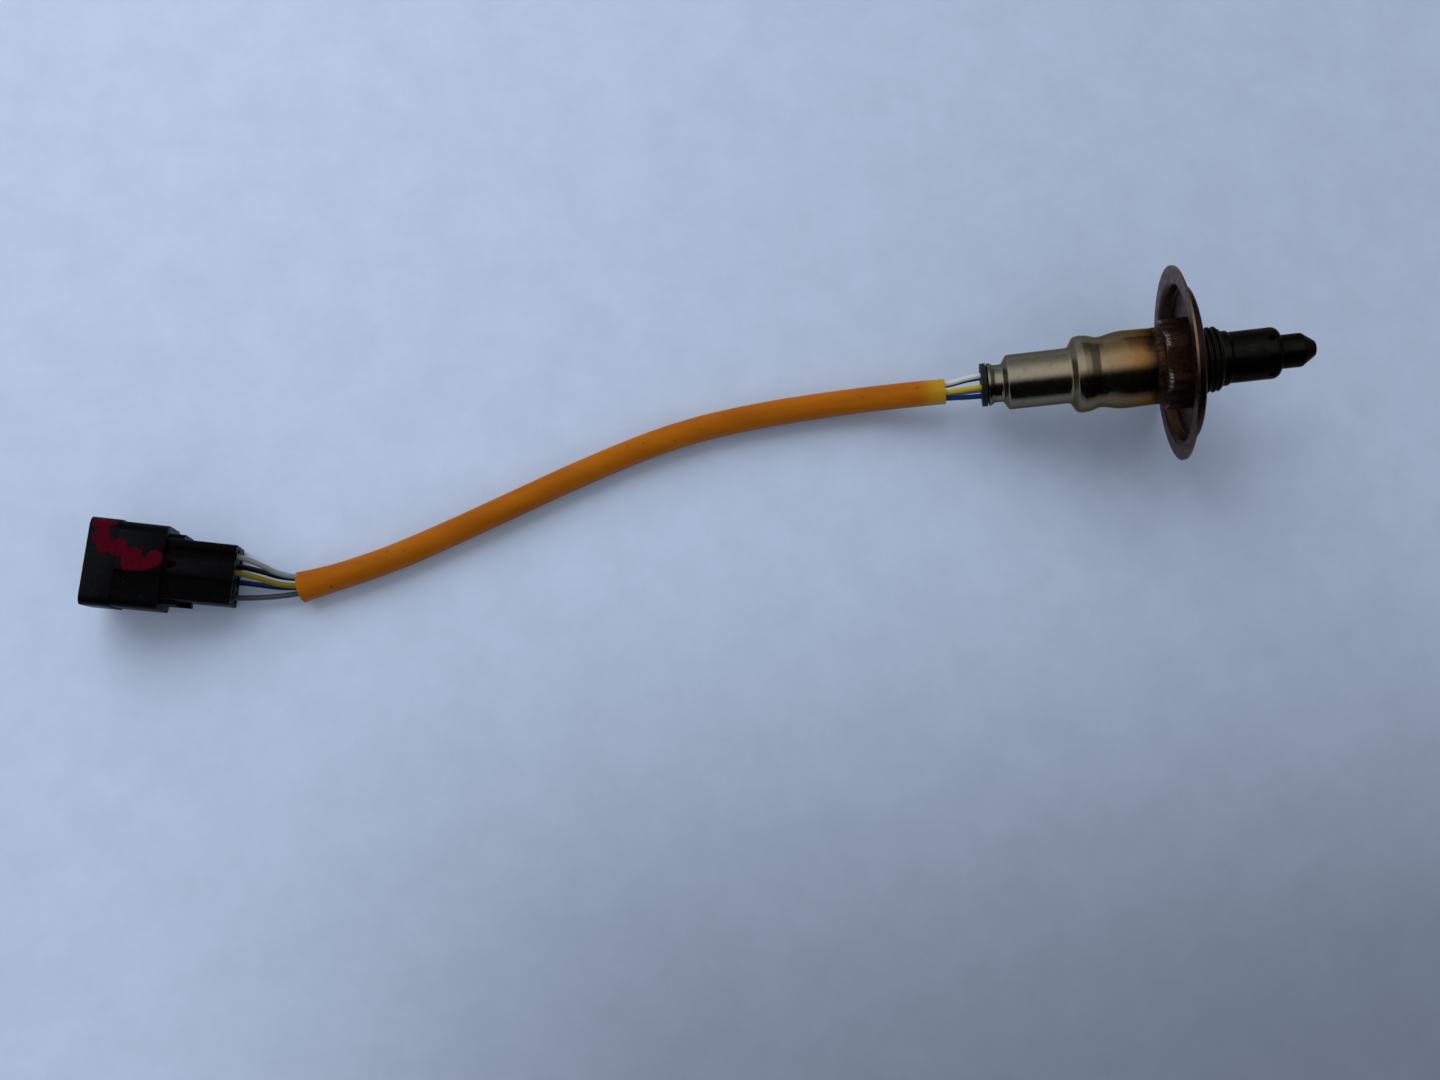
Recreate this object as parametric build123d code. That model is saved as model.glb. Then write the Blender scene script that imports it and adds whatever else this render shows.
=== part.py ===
from build123d import *
import math
import os

# A wide-band exhaust oxygen sensor with its sleeved lead and plug, in millimetres.
# The sensor's pieces are made about the Z axis of their own frame, tip towards +Z, with z = 0 at the
# rear face of the flange rim, and are then laid down on the rim. +X of the model points to the tip.
# The plug's pieces are made in a frame whose +X runs from the wire end to the mouth.

# ---- fits ----
FIT = 0.05                      # clearance between pieces that seat in or on each other

# ---- flange plate ----
RIM_DIAMETER = 53.2
RIM_WIDTH = 4.9
PLATE_THICKNESS = 0.6
DISH_DEPTH = 3.7                # rear face of the rim to front face of the dish
DISH_SLOPE = 1.0                # how much the dish wall leans in over its depth
DISH_REAR_BEND = 1.6
DISH_FRONT_BEND = 0.7

# ---- metal shell ----
HEX_ACROSS_FLATS = 22.0
HEX_LENGTH = 7.3
HEX_FACE_DIAMETER = 21.3        # circle that the corner chamfers leave on the rear face
HEX_CHAMFER_ANGLE = 30.0
HEX_ROLL = 38.4                 # angle of one corner from the sensor frame's X axis
COLLAR_LENGTH = 2.1             # plain collar behind the hexagon
COLLAR_DIAMETER = 21.1
THREAD_DIAMETER = 17.9          # M18 x 1.5
THREAD_LENGTH = 7.7
THREAD_CHAMFER = 0.7
RELIEF_DIAMETER = 16.6          # groove between the dish and the thread
RELIEF_LENGTH = 0.6
MAIN_BORE_DIAMETER = 13.4
FRONT_BORE_DIAMETER = 10.4
BORE_CONE_LENGTH = 1.5
BORE_CONE_FROM_DISH = 1.8
SKIRT_DIAMETER = 17.4           # the rear skirt that is rolled over the packing
ROLL_LENGTH = 1.0
ROLL_EDGE = 0.8                 # bevel round the rolled edge
ROLL_BORE_DIAMETER = 11.6
CASING_SEAT_LENGTH = 2.7
SPIGOT_LENGTH = 2.3             # nose spigot that carries the inner protector

# ---- protectors ----
OUTER_TUBE_DIAMETER = 14.0
OUTER_TUBE_WALL = 0.45
OUTER_TUBE_LENGTH = 15.3
OUTER_ROOT_DIAMETER = 15.0
OUTER_ROOT_LENGTH = 2.4
OUTER_ROOT_BEND = 0.5
OUTER_END_BEND = 2.0
OUTER_HOLE_DIAMETER = 1.8
OUTER_HOLE_COUNT = 8
OUTER_HOLE_FROM_END = 2.9
OUTER_HOLE_TURN = 23.3
INNER_TUBE_DIAMETER = 9.2
INNER_TUBE_WALL = 0.4
INNER_ROOT_LENGTH = 2.8
INNER_STEP_LENGTH = 1.8
INNER_TUBE_BEND = 0.9
NOSE_LENGTH = 9.3               # how far the nose stands out of the outer tube
NOSE_CONE_LENGTH = 3.6
NOSE_TIP_DIAMETER = 3.9
NOSE_HOLE_DIAMETER = 1.6
INNER_HOLE_DIAMETER = 1.2
INNER_HOLE_COUNT = 6
INNER_HOLE_FROM_STEP = 3.0

# ---- inside of the shell ----
ELEMENT_WIDTH = 4.2
ELEMENT_THICKNESS = 1.5
ELEMENT_FRONT = 26.5
ELEMENT_LENGTH = 61.0
ELEMENT_CHAMFER = 0.4
HOLDER_LENGTH = 7.0
TALC_LENGTH = 4.0
INSULATOR_FLANGE_LENGTH = 4.0
INSULATOR_NECK_LENGTH = 8.0
INSULATOR_NECK_DIAMETER = 9.6
PACKING_RING_LENGTH = 1.2

# ---- rear casing ----
CASING_WALL = 0.6
BARREL_DIAMETER = 21.8
WAIST_DIAMETER = 19.9
BULGE_DIAMETER = 21.3
TUBE_DIAMETER = 15.4
NECK_DIAMETER = 10.6
LIP_DIAMETER = 12.0
BARREL_RISE_LENGTH = 7.2        # lengths along the casing, from its front edge back
BARREL_FALL_LENGTH = 5.5
WAIST_LENGTH = 2.2
BULGE_RISE_LENGTH = 2.0
BULGE_LENGTH = 3.2
BULGE_FALL_LENGTH = 1.8
TUBE_LENGTH = 15.7
NECK_FALL_LENGTH = 2.5
NECK_LENGTH = 2.5
LIP_LENGTH = 1.6
CASING_BENDS = (1.5, 1.5, 1.8, 1.3, 1.3, 3.0, 5.0, 8.0, 24.0)    # from the lip forward
CRIMP_COUNT = 8
CRIMP_DEPTH = 0.3
CRIMP_RADIUS = 2.2

# ---- contacts and grommet ----
GROMMET_FLANGE_DIAMETER = 12.2
GROMMET_FLANGE_LENGTH = 1.45
GROMMET_LIP_GAP = 0.3           # the lip's inner edge, being flared, stands into this
GROMMET_LENGTH = 8.2            # length inside the casing
WIRE_DIAMETER = 1.5
WIRE_RING_DIAMETER = 6.2        # the circle that the wires leave the grommet on
WIRE_DEPTH = 4.0                # how far a wire reaches into the grommet
CLOCKING = 204.0                # angle of the yellow wire's place from the sensor frame's X axis
BARREL_PIN_DIAMETER = 1.4
CONTACT_WIDTH = 0.8
LEG_THICKNESS = 0.4
LEG_STUB = 1.0                  # straight length of a leg inside the chamber
SPRING_THICKNESS = 0.3
FOOT_LENGTH = 2.0
FOOT_BEFORE_END = 3.0           # from the rear end of the strip to the rear edge of the feet
HOLDER_GAP = 0.3                # between the grommet and the contact holder
CONTACT_HOLDER_DIAMETER = 12.6
CONTACT_HOLDER_LENGTH = 15.4
CHAMBER_DEPTH = 11.5
CHAMBER_SIZE = 7.4
LEG_HOLE_DIAMETER = 1.5
HOLDER_SPRING_LENGTH = 7.0
HOLDER_SPRING_GAP = 1.5
HOLDER_SPRING_FROM_REAR = 3.5

# ---- resting place ----
TILT = 15.0                     # the axis rises this much towards the tip

# ---- plug ----
PLUG_LENGTH = 35.6
REAR_BODY_LENGTH = 17.1
REAR_BODY_WIDTH = 16.1
REAR_BODY_HEIGHT = 13.0
HOOD_WIDTH = 22.3
HOOD_RISE = 1.0                 # the hood's top above the rear body's top
HOOD_DROP = 1.3                 # the hood's bottom below the rear body's bottom
HOOD_WALL = 1.5
HOOD_DEPTH = 15.6
HOOD_FAR_ROUND = 2.4
HOOD_NEAR_ROUND = 2.2
HOOD_LOW_ROUND = 2.0
BODY_ROUND = 1.0
BODY_NEAR_ROUND = 2.0
MOUTH_BAND_LENGTH = 7.3
MOUTH_BAND_RISE = 0.35
PAD_WIDTH = 10.4
PAD_RISE = 0.7
PAD_FROM_FAR_SIDE = 2.4
SHOULDER_LENGTH = 3.8           # ledge round the rear body, behind the hood
SHOULDER_WIDTH = 18.9
SHOULDER_BELOW_TOP = 1.8        # the ledge's top below the rear body's top
RAIL_WIDTH = 1.4
RAIL_LIP = 0.8
RAIL_LIP_THICKNESS = 0.6
CHANNEL_WIDTH = 3.1
CHANNEL_DEPTH = 1.6
TONGUE_WIDTH = 5.2
NEAR_STEP_DEPTH = 0.8
LOCK_WINDOW = 1.8
LOCK_WINDOW_FROM_HOOD = 1.1
SIDE_TAB_LENGTH = 6.7
SIDE_TAB_HEIGHT = 3.0
SIDE_TAB_REACH = 1.5
LOCK_CHANNEL_WIDTH = 9.0
LOCK_CHANNEL_DEPTH = 1.7        # raised channel for the mate's latch, under the hood
CAVITY_PITCH = 4.5
CAVITY_ROW_PITCH = 5.5
CAVITY_STAGGER = 2.3            # the lower row stands this much nearer the near side
CAVITY_DIAMETER = 3.4
CAVITY_DEPTH = 9.0
TERMINAL_HOLE = 2.2
PLUG_WIRE_DEPTH = 5.0
SEAL_LENGTH = 4.3
SEAL_INSET = 0.4
SEAL_RIB_DEPTH = 0.35
BLADE_WIDTH = 1.5
BLADE_THICKNESS = 0.8
BLADE_REACH = 11.0              # pin tips stand this far out of the hood's floor
BLADE_CHAMFER = 0.28
TERMINAL_STOP = 1.0             # from the hood's floor back to the shoulder of a terminal's body
CRIMP_BARREL_DIAMETER = 1.9
CRIMP_BARREL_LENGTH = 4.0
RETAINER_THICKNESS = 2.4
RETAINER_WIDTH = 14.6
RETAINER_HEIGHT = 9.6

# ---- lead ----
SLEEVE_DIAMETER = 7.4
SLEEVE_WALL = 0.5
BUNDLE_RADIUS = 1.95            # the wires' lane centres inside the sleeve
GROMMET_STRAIGHT = 2.4          # a wire runs this far straight out of the grommet
PLUG_STRAIGHT = 2.6             # and this far straight out of the plug
ARC_SHARE = 0.45                # share of the shorter run that each bend takes up

# Route of the lead's middle, from the sensor to the plug. The end points are the sleeve's ends.
LEAD_ROUTE = (
    (-51.7, -0.55, 9.3),
    (-63.8, -0.45, 6.4),
    (-80.8, -1.05, 4.05),
    (-103.8, -3.45, 3.72),
    (-127.8, -7.75, 3.7),
    (-153.8, -16.75, 3.7),
    (-187.8, -31.15, 3.7),
    (-215.8, -41.95, 3.7),
    (-234.6, -45.85, 3.72),
)
FAN_POINT = (-236.8, -46.3, 3.74)       # where the wires part, just past the sleeve
PLUG_PLACE = (-250.63, -42.0, 0.0)      # middle of the rear body's lower edge at the wire end
PLUG_TURN = 171.45                      # heading of the plug's mouth about +Z
PLUG_PITCH = 10.0                       # the mouth is this much higher than level

# Places across the lead: sideways (+ is the far side) and up, in bundle radii.
LANES = {
    "top": (-0.41, 0.91),
    "far_high": (0.74, 0.67),
    "far_low": (0.87, -0.50),
    "bottom": (-0.21, -0.98),
    "near": (-0.99, -0.10),
    "middle": (0.05, 0.0),
}
# Each wire's place on the grommet's circle (steps of a fifth of a turn), its lanes at the points that
# it follows, and its cavity in the plug as (column, row). Grey and blue change places on the way.
WIRES = {
    "yellow": (0, ("top",) * 9, (0, 1)),
    "white": (1, ("far_high",) * 9, (-1, 1)),
    "black": (2, ("far_low",) * 9, (-1, 0)),
    "grey": (3, ("bottom",) * 5 + ("middle",) * 2 + ("near",) * 2, (1, 0)),
    "blue": (4, ("near",) * 6 + ("bottom",) * 3, (0, 0)),
}
SPARE_CAVITY = (1, 1)
# Where each contact presses on the strip, across it (mm) and on which face.
CONTACT_FEET = {
    "yellow": (0.0, 1),
    "white": (-1.45, 1),
    "blue": (1.45, 1),
    "black": (-0.9, -1),
    "grey": (0.9, -1),
}

# The casing's outer line from its front edge back: (diameter, length since the corner before).
CASING_STEPS = (
    (COLLAR_DIAMETER, 0.0),
    (BARREL_DIAMETER, BARREL_RISE_LENGTH),
    (WAIST_DIAMETER, BARREL_FALL_LENGTH),
    (WAIST_DIAMETER, WAIST_LENGTH),
    (BULGE_DIAMETER, BULGE_RISE_LENGTH),
    (BULGE_DIAMETER, BULGE_LENGTH),
    (TUBE_DIAMETER, BULGE_FALL_LENGTH),
    (TUBE_DIAMETER, TUBE_LENGTH),
    (NECK_DIAMETER, NECK_FALL_LENGTH),
    (NECK_DIAMETER, NECK_LENGTH),
    (LIP_DIAMETER, LIP_LENGTH),
)

# ---- stations along the sensor axis ----
DISH_FRONT = DISH_DEPTH
HEX_FRONT = DISH_DEPTH - PLATE_THICKNESS
HEX_REAR = HEX_FRONT - HEX_LENGTH
COLLAR_REAR = HEX_REAR - COLLAR_LENGTH
THREAD_FRONT = DISH_FRONT + THREAD_LENGTH
SPIGOT_FRONT = THREAD_FRONT + SPIGOT_LENGTH
BORE_CONE_REAR = DISH_FRONT + BORE_CONE_FROM_DISH
HOLDER_FRONT = BORE_CONE_REAR + BORE_CONE_LENGTH
HOLDER_REAR = HOLDER_FRONT - HOLDER_LENGTH
TALC_REAR = HOLDER_REAR - TALC_LENGTH
INSULATOR_SHOULDER = TALC_REAR - INSULATOR_FLANGE_LENGTH
ROLL_FRONT = INSULATOR_SHOULDER - PACKING_RING_LENGTH
SHELL_REAR = ROLL_FRONT - ROLL_LENGTH
CASING_FRONT = COLLAR_REAR
CASING_REAR = CASING_FRONT - sum(length for diameter, length in CASING_STEPS)
OUTER_TUBE_FRONT = THREAD_FRONT + OUTER_TUBE_LENGTH
NOSE_FRONT = OUTER_TUBE_FRONT + NOSE_LENGTH
GROMMET_REAR = CASING_REAR - GROMMET_LIP_GAP - GROMMET_FLANGE_LENGTH
GROMMET_FRONT = CASING_REAR + GROMMET_LENGTH
WIRE_END = GROMMET_REAR + WIRE_DEPTH
ELEMENT_REAR = ELEMENT_FRONT - ELEMENT_LENGTH
FOOT_REAR = ELEMENT_REAR + FOOT_BEFORE_END
CONTACT_HOLDER_REAR = GROMMET_FRONT + HOLDER_GAP
CONTACT_HOLDER_FRONT = CONTACT_HOLDER_REAR + CONTACT_HOLDER_LENGTH
CHAMBER_REAR = CONTACT_HOLDER_FRONT - CHAMBER_DEPTH
CASING_SEAT_RADIUS = COLLAR_DIAMETER / 2 - CASING_WALL - FIT
SPIGOT_RADIUS = OUTER_TUBE_DIAMETER / 2 - OUTER_TUBE_WALL - INNER_TUBE_WALL - 2 * FIT

os.makedirs("parts", exist_ok=True)


# ---- profiles ----

def parallel_line(points, bends, gap):
    """Corners and bend radii of the line that runs `gap` to the left of a bent (r, z) line."""
    corners = [Vector(r, z, 0) for r, z in points]
    headings = [(b - a).normalized() for a, b in zip(corners, corners[1:])]
    lefts = [Vector(-heading.Y, heading.X, 0) for heading in headings]
    shifted = [corners[0] + lefts[0] * gap]
    radii = []
    for i, bend in enumerate(bends):
        before, after = lefts[i], lefts[i + 1]
        shifted.append(corners[i + 1] + (before + after) * (gap / (1 + before.dot(after))))
        turn = headings[i].cross(headings[i + 1]).Z
        radii.append(bend - math.copysign(gap, turn))
    shifted.append(corners[-1] + lefts[-1] * gap)
    return shifted, radii


def bent_sheet(points, bends, wall):
    """Turned sheet-metal shell: a bent (r, z) line, and its wall to the left of it."""
    inner_points, inner_bends = parallel_line(points, bends, wall)
    outer = FilletPolyline(*points, radius=bends)
    inner = FilletPolyline(*inner_points, radius=inner_bends)
    ends = [Line(outer @ 0, inner @ 0), Line(outer @ 1, inner @ 1)]
    return revolve(Plane.XZ * make_face([outer, inner, *ends]), Axis.Z)


def turned(*points):
    """Solid of revolution about Z from a closed (r, z) outline."""
    return revolve(Plane.XZ * make_face(Polyline(*points, close=True)), Axis.Z)


def rod(radius, bottom, top):
    """Round rod on the Z axis between two heights."""
    return Pos(0, 0, (bottom + top) / 2) * Cylinder(radius, top - bottom)


def block(size_x, size_y, bottom, top):
    """Rectangular bar on the Z axis between two heights."""
    return Pos(0, 0, (bottom + top) / 2) * Box(size_x, size_y, top - bottom)


def element_slot(bottom, top):
    """The strip's passage through the ceramics, with its clearance."""
    return Rot(0, 0, CLOCKING) * block(ELEMENT_THICKNESS + 2 * FIT, ELEMENT_WIDTH + 2 * FIT, bottom, top)


# ---- metal shell and flange ----

def make_metal_shell():
    """Turned steel body: hexagon, collar, relief groove, thread, nose spigot and stepped bore."""
    thread = THREAD_DIAMETER / 2
    collar = COLLAR_DIAMETER / 2
    seat_rear = COLLAR_REAR - CASING_SEAT_LENGTH
    skirt = SKIRT_DIAMETER / 2
    core = turned(
        (ROLL_BORE_DIAMETER / 2, SHELL_REAR),
        (skirt - ROLL_EDGE, SHELL_REAR),
        (skirt, SHELL_REAR + ROLL_EDGE),
        (skirt, seat_rear),
        (CASING_SEAT_RADIUS, seat_rear),
        (CASING_SEAT_RADIUS, COLLAR_REAR),
        (collar, COLLAR_REAR),
        (collar, HEX_REAR),
        (thread, HEX_REAR),
        (thread, DISH_FRONT),
        (RELIEF_DIAMETER / 2, DISH_FRONT),
        (RELIEF_DIAMETER / 2, DISH_FRONT + RELIEF_LENGTH),
        (thread, DISH_FRONT + RELIEF_LENGTH),
        (thread, THREAD_FRONT - THREAD_CHAMFER),
        (thread - THREAD_CHAMFER, THREAD_FRONT),
        (SPIGOT_RADIUS, THREAD_FRONT),
        (SPIGOT_RADIUS, SPIGOT_FRONT),
        (FRONT_BORE_DIAMETER / 2, SPIGOT_FRONT),
        (FRONT_BORE_DIAMETER / 2, HOLDER_FRONT),
        (MAIN_BORE_DIAMETER / 2, BORE_CONE_REAR),
        (MAIN_BORE_DIAMETER / 2, ROLL_FRONT),
        (ROLL_BORE_DIAMETER / 2, ROLL_FRONT),
    )
    corner = HEX_ACROSS_FLATS / 2 / math.cos(math.radians(30))
    face = HEX_FACE_DIAMETER / 2
    chamfer = (corner - face) * math.tan(math.radians(HEX_CHAMFER_ANGLE))
    hexagon = extrude(
        Plane.XY.offset(HEX_REAR) * RegularPolygon(HEX_ACROSS_FLATS / 2, 6, major_radius=False), HEX_LENGTH
    )
    envelope = turned(
        (thread - 1, HEX_REAR),
        (face, HEX_REAR),
        (corner, HEX_REAR + chamfer),
        (corner, HEX_FRONT),
        (thread - 1, HEX_FRONT),
    )
    # A polygon's first corner lies on X or half a side from it, so it is turned to HEX_ROLL by its corner.
    first = hexagon.vertices().sort_by_distance((corner, 0, HEX_REAR))[0]
    first_angle = math.degrees(math.atan2(first.Y, first.X))
    return core + (Rot(0, 0, HEX_ROLL - first_angle) * hexagon & envelope)


def make_flange_plate():
    """Pressed dish: flat rim, sloping wall and flat middle that the hexagon seats on."""
    wall_foot = RIM_DIAMETER / 2 - RIM_WIDTH
    return bent_sheet(
        [
            (THREAD_DIAMETER / 2 + FIT, HEX_FRONT),
            (wall_foot - DISH_SLOPE, HEX_FRONT),
            (wall_foot, 0),
            (RIM_DIAMETER / 2, 0),
        ],
        [DISH_FRONT_BEND, DISH_REAR_BEND],
        PLATE_THICKNESS,
    )


# ---- protectors ----

def side_holes(diameter, count, station, turn):
    """Ring of radial drillings."""
    drill = Pos(0, 0, station) * Rot(0, 90, 0) * Cylinder(diameter / 2, RIM_WIDTH * 4)
    half = count // 2
    return [Rot(0, 0, turn + 180 * i / half) * drill for i in range(half)]


def make_outer_protector():
    """Outer exhaust-side tube with a wider root, a rounded end and a ring of gas holes."""
    tube = OUTER_TUBE_DIAMETER / 2
    root = OUTER_ROOT_DIAMETER / 2
    root_step = root - tube
    shell = bent_sheet(
        [
            (root, THREAD_FRONT + FIT),
            (root, THREAD_FRONT + OUTER_ROOT_LENGTH - root_step),
            (tube, THREAD_FRONT + OUTER_ROOT_LENGTH),
            (tube, OUTER_TUBE_FRONT),
            (INNER_TUBE_DIAMETER / 2 + FIT, OUTER_TUBE_FRONT),
        ],
        [OUTER_ROOT_BEND, OUTER_ROOT_BEND, OUTER_END_BEND],
        OUTER_TUBE_WALL,
    )
    holes = side_holes(
        OUTER_HOLE_DIAMETER, OUTER_HOLE_COUNT, OUTER_TUBE_FRONT - OUTER_HOLE_FROM_END, OUTER_HOLE_TURN
    )
    core = rod(INNER_TUBE_DIAMETER / 2, THREAD_FRONT, OUTER_TUBE_FRONT)
    return shell - [hole - core for hole in holes]


def make_inner_protector():
    """Inner tube that sits on the shell's spigot and ends in the cone nose."""
    root = SPIGOT_RADIUS + FIT + INNER_TUBE_WALL
    tube = INNER_TUBE_DIAMETER / 2
    root_front = THREAD_FRONT + FIT + INNER_ROOT_LENGTH
    step_front = root_front + INNER_STEP_LENGTH
    shell = bent_sheet(
        [
            (root, THREAD_FRONT + FIT),
            (root, root_front),
            (tube, step_front),
            (tube, NOSE_FRONT - NOSE_CONE_LENGTH),
            (NOSE_TIP_DIAMETER / 2, NOSE_FRONT),
            (NOSE_HOLE_DIAMETER / 2, NOSE_FRONT),
        ],
        [INNER_TUBE_BEND] * 4,
        INNER_TUBE_WALL,
    )
    return shell - side_holes(INNER_HOLE_DIAMETER, INNER_HOLE_COUNT, step_front + INNER_HOLE_FROM_STEP, 0)


# ---- ceramics and seals in the shell ----

def make_sensing_element():
    """Laminated zirconia strip with its heater, chamfered at the tip."""
    strip = block(ELEMENT_THICKNESS, ELEMENT_WIDTH, ELEMENT_REAR, ELEMENT_FRONT)
    strip = chamfer(strip.faces().sort_by(Axis.Z)[-1].edges(), ELEMENT_CHAMFER)
    return Rot(0, 0, CLOCKING) * strip


def make_element_holder():
    """Front ceramic that sits on the bore's cone."""
    wide, narrow = MAIN_BORE_DIAMETER / 2 - FIT, FRONT_BORE_DIAMETER / 2 - FIT
    body = turned(
        (0, HOLDER_REAR),
        (wide, HOLDER_REAR),
        (wide, BORE_CONE_REAR),
        (narrow, HOLDER_FRONT),
        (0, HOLDER_FRONT),
    )
    return body - element_slot(HOLDER_REAR, HOLDER_FRONT)


def make_talc_packing():
    """Pressed powder ring round the strip."""
    return rod(MAIN_BORE_DIAMETER / 2 - FIT, TALC_REAR, HOLDER_REAR) - element_slot(TALC_REAR, HOLDER_REAR)


def make_insulator_sleeve():
    """Rear ceramic: a flange that presses the powder, and a neck."""
    rear = INSULATOR_SHOULDER - INSULATOR_NECK_LENGTH
    body = rod(MAIN_BORE_DIAMETER / 2 - FIT, INSULATOR_SHOULDER, TALC_REAR)
    body += rod(INSULATOR_NECK_DIAMETER / 2, rear, INSULATOR_SHOULDER)
    return body - element_slot(rear, TALC_REAR)


def make_packing_ring():
    """Soft ring between the ceramic's shoulder and the rolled edge of the shell."""
    ring = rod(MAIN_BORE_DIAMETER / 2 - FIT, ROLL_FRONT, INSULATOR_SHOULDER)
    return ring - rod(INSULATOR_NECK_DIAMETER / 2 + 6 * FIT, ROLL_FRONT, INSULATOR_SHOULDER)


# ---- rear casing and grommet ----

def casing_line():
    """The casing's outer line from the flared lip forward to the shell's collar, and its bends."""
    station = CASING_FRONT
    line = []
    for diameter, length in CASING_STEPS:
        station -= length
        line.append((diameter / 2, station))
    return line[::-1], CASING_BENDS


def make_rear_casing():
    """Stepped stainless cover with a ring of crimp dents in its neck."""
    casing = bent_sheet(*casing_line(), CASING_WALL)
    neck_middle = CASING_REAR + LIP_LENGTH + NECK_LENGTH / 2
    tool = Cylinder(CRIMP_RADIUS, NECK_LENGTH)
    tool = Pos(NECK_DIAMETER / 2 - CRIMP_DEPTH + CRIMP_RADIUS, 0, neck_middle) * tool
    return casing - [Rot(0, 0, 360 * i / CRIMP_COUNT) * tool for i in range(CRIMP_COUNT)]


def wire_ring(step):
    """(x, y) of a wire's place on the grommet's circle."""
    angle = math.radians(CLOCKING - 360 * step / len(WIRES))
    return WIRE_RING_DIAMETER / 2 * math.cos(angle), WIRE_RING_DIAMETER / 2 * math.sin(angle)


def make_wire_grommet():
    """Rubber plug that fills the casing's rear end, with a flange behind the lip."""
    points, bends = parallel_line(*casing_line(), CASING_WALL + FIT)
    line = FilletPolyline(*points, radius=bends)
    lid = Polyline(line @ 1, (0, (line @ 1).Y), (0, (line @ 0).Y), line @ 0)
    inside = revolve(Plane.XZ * make_face([line, lid]), Axis.Z)
    body = inside & rod(BARREL_DIAMETER, CASING_REAR, GROMMET_FRONT)
    neck = NECK_DIAMETER / 2 - CASING_WALL - FIT
    body += rod(neck, GROMMET_REAR, CASING_REAR + FIT)
    body += rod(GROMMET_FLANGE_DIAMETER / 2, GROMMET_REAR, GROMMET_REAR + GROMMET_FLANGE_LENGTH)
    hole = rod(WIRE_DIAMETER / 2 + FIT, GROMMET_REAR, GROMMET_FRONT)
    return body - [Pos(*wire_ring(step), 0) * hole for step in range(len(WIRES))]


# ---- contacts ----

def make_contact_holder():
    """Rear ceramic: a chamber for the springs, and a hole for each contact's leg."""
    body = rod(CONTACT_HOLDER_DIAMETER / 2, CONTACT_HOLDER_REAR, CONTACT_HOLDER_FRONT)
    chamber = block(CHAMBER_SIZE, CHAMBER_SIZE, CHAMBER_REAR, CONTACT_HOLDER_FRONT)
    hole = rod(LEG_HOLE_DIAMETER / 2, CONTACT_HOLDER_REAR, CHAMBER_REAR)
    holes = [Pos(*wire_ring(step), 0) * hole for step in range(len(WIRES))]
    return body - Rot(0, 0, CLOCKING) * chamber - holes


def make_contact(colour):
    """Spring contact: a pin at the wire, a leg through the ceramic and a foot on the strip."""
    step = WIRES[colour][0]
    across, side = CONTACT_FEET[colour]
    ring = Rot(0, 0, -CLOCKING) * Pos(*wire_ring(step), 0)
    ring_x, ring_y = ring.position.X, ring.position.Y
    foot_x = side * (ELEMENT_THICKNESS / 2 + FIT + SPRING_THICKNESS / 2)
    leg_front = CHAMBER_REAR + LEG_STUB
    pin = Pos(ring_x, ring_y, 0) * rod(BARREL_PIN_DIAMETER / 2, WIRE_END, CONTACT_HOLDER_REAR)
    leg = Pos(ring_x, ring_y, 0) * block(LEG_THICKNESS, CONTACT_WIDTH, CONTACT_HOLDER_REAR, leg_front)
    spring = loft(
        [
            Pos(ring_x, ring_y, leg_front) * Rectangle(LEG_THICKNESS, CONTACT_WIDTH),
            Pos(foot_x, across, FOOT_REAR) * Rectangle(SPRING_THICKNESS, CONTACT_WIDTH),
        ]
    )
    foot = Pos(foot_x, across, 0) * block(SPRING_THICKNESS, CONTACT_WIDTH, FOOT_REAR, FOOT_REAR + FOOT_LENGTH)
    return Rot(0, 0, CLOCKING) * (pin + leg + spring + foot)


def make_holder_spring():
    """Split ring that centres the contact holder in the casing's tube."""
    rear = CONTACT_HOLDER_REAR + HOLDER_SPRING_FROM_REAR
    front = rear + HOLDER_SPRING_LENGTH
    outer = TUBE_DIAMETER / 2 - CASING_WALL - FIT
    ring = rod(outer, rear, front) - rod(CONTACT_HOLDER_DIAMETER / 2 + FIT, rear, front)
    split = Pos(outer, 0, 0) * block(outer, HOLDER_SPRING_GAP, rear, front)
    return ring - split


# ---- plug ----

def plug_section(width, bottom, top, far_round, near_round, low_round):
    """Cross-section of the plug, in (y, z): -y is the far side and +y the near side."""
    half = width / 2
    corners = [(-half, bottom), (half, bottom), (half, top), (-half, top)]
    outline = FilletPolyline(*corners, radius=[low_round, low_round, near_round, far_round], close=True)
    return Plane.YZ * make_face(outline)


def plug_bar(section, start, end):
    """Bar of a plug section between two stations along the plug."""
    return extrude(Pos(start, 0, 0) * section, end - start)


def plug_block(start, end, low_y, high_y, low_z, high_z):
    """Rectangular block in the plug's frame."""
    size = (end - start, high_y - low_y, high_z - low_z)
    return Pos((start + end) / 2, (low_y + high_y) / 2, (low_z + high_z) / 2) * Box(*size)


def cavity_place(column, row):
    """(y, z) of a wire cavity's centre."""
    y = column * CAVITY_PITCH + (0.5 - row) * CAVITY_STAGGER
    return y, REAR_BODY_HEIGHT / 2 + (row - 0.5) * CAVITY_ROW_PITCH


def cavity_rod(place, radius, start, end):
    """Round rod along a cavity, between two stations."""
    y, z = cavity_place(*place)
    return Pos((start + end) / 2, y, z) * Rot(0, 90, 0) * Cylinder(radius, end - start)


def hood_section(grow, top_grow=0.0):
    """The hood's outer section, grown or (negative) shrunk all round."""
    return plug_section(
        HOOD_WIDTH + 2 * grow,
        -HOOD_DROP - grow,
        REAR_BODY_HEIGHT + HOOD_RISE + grow,
        HOOD_FAR_ROUND + grow,
        HOOD_NEAR_ROUND + grow,
        HOOD_LOW_ROUND + grow,
    )


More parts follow.
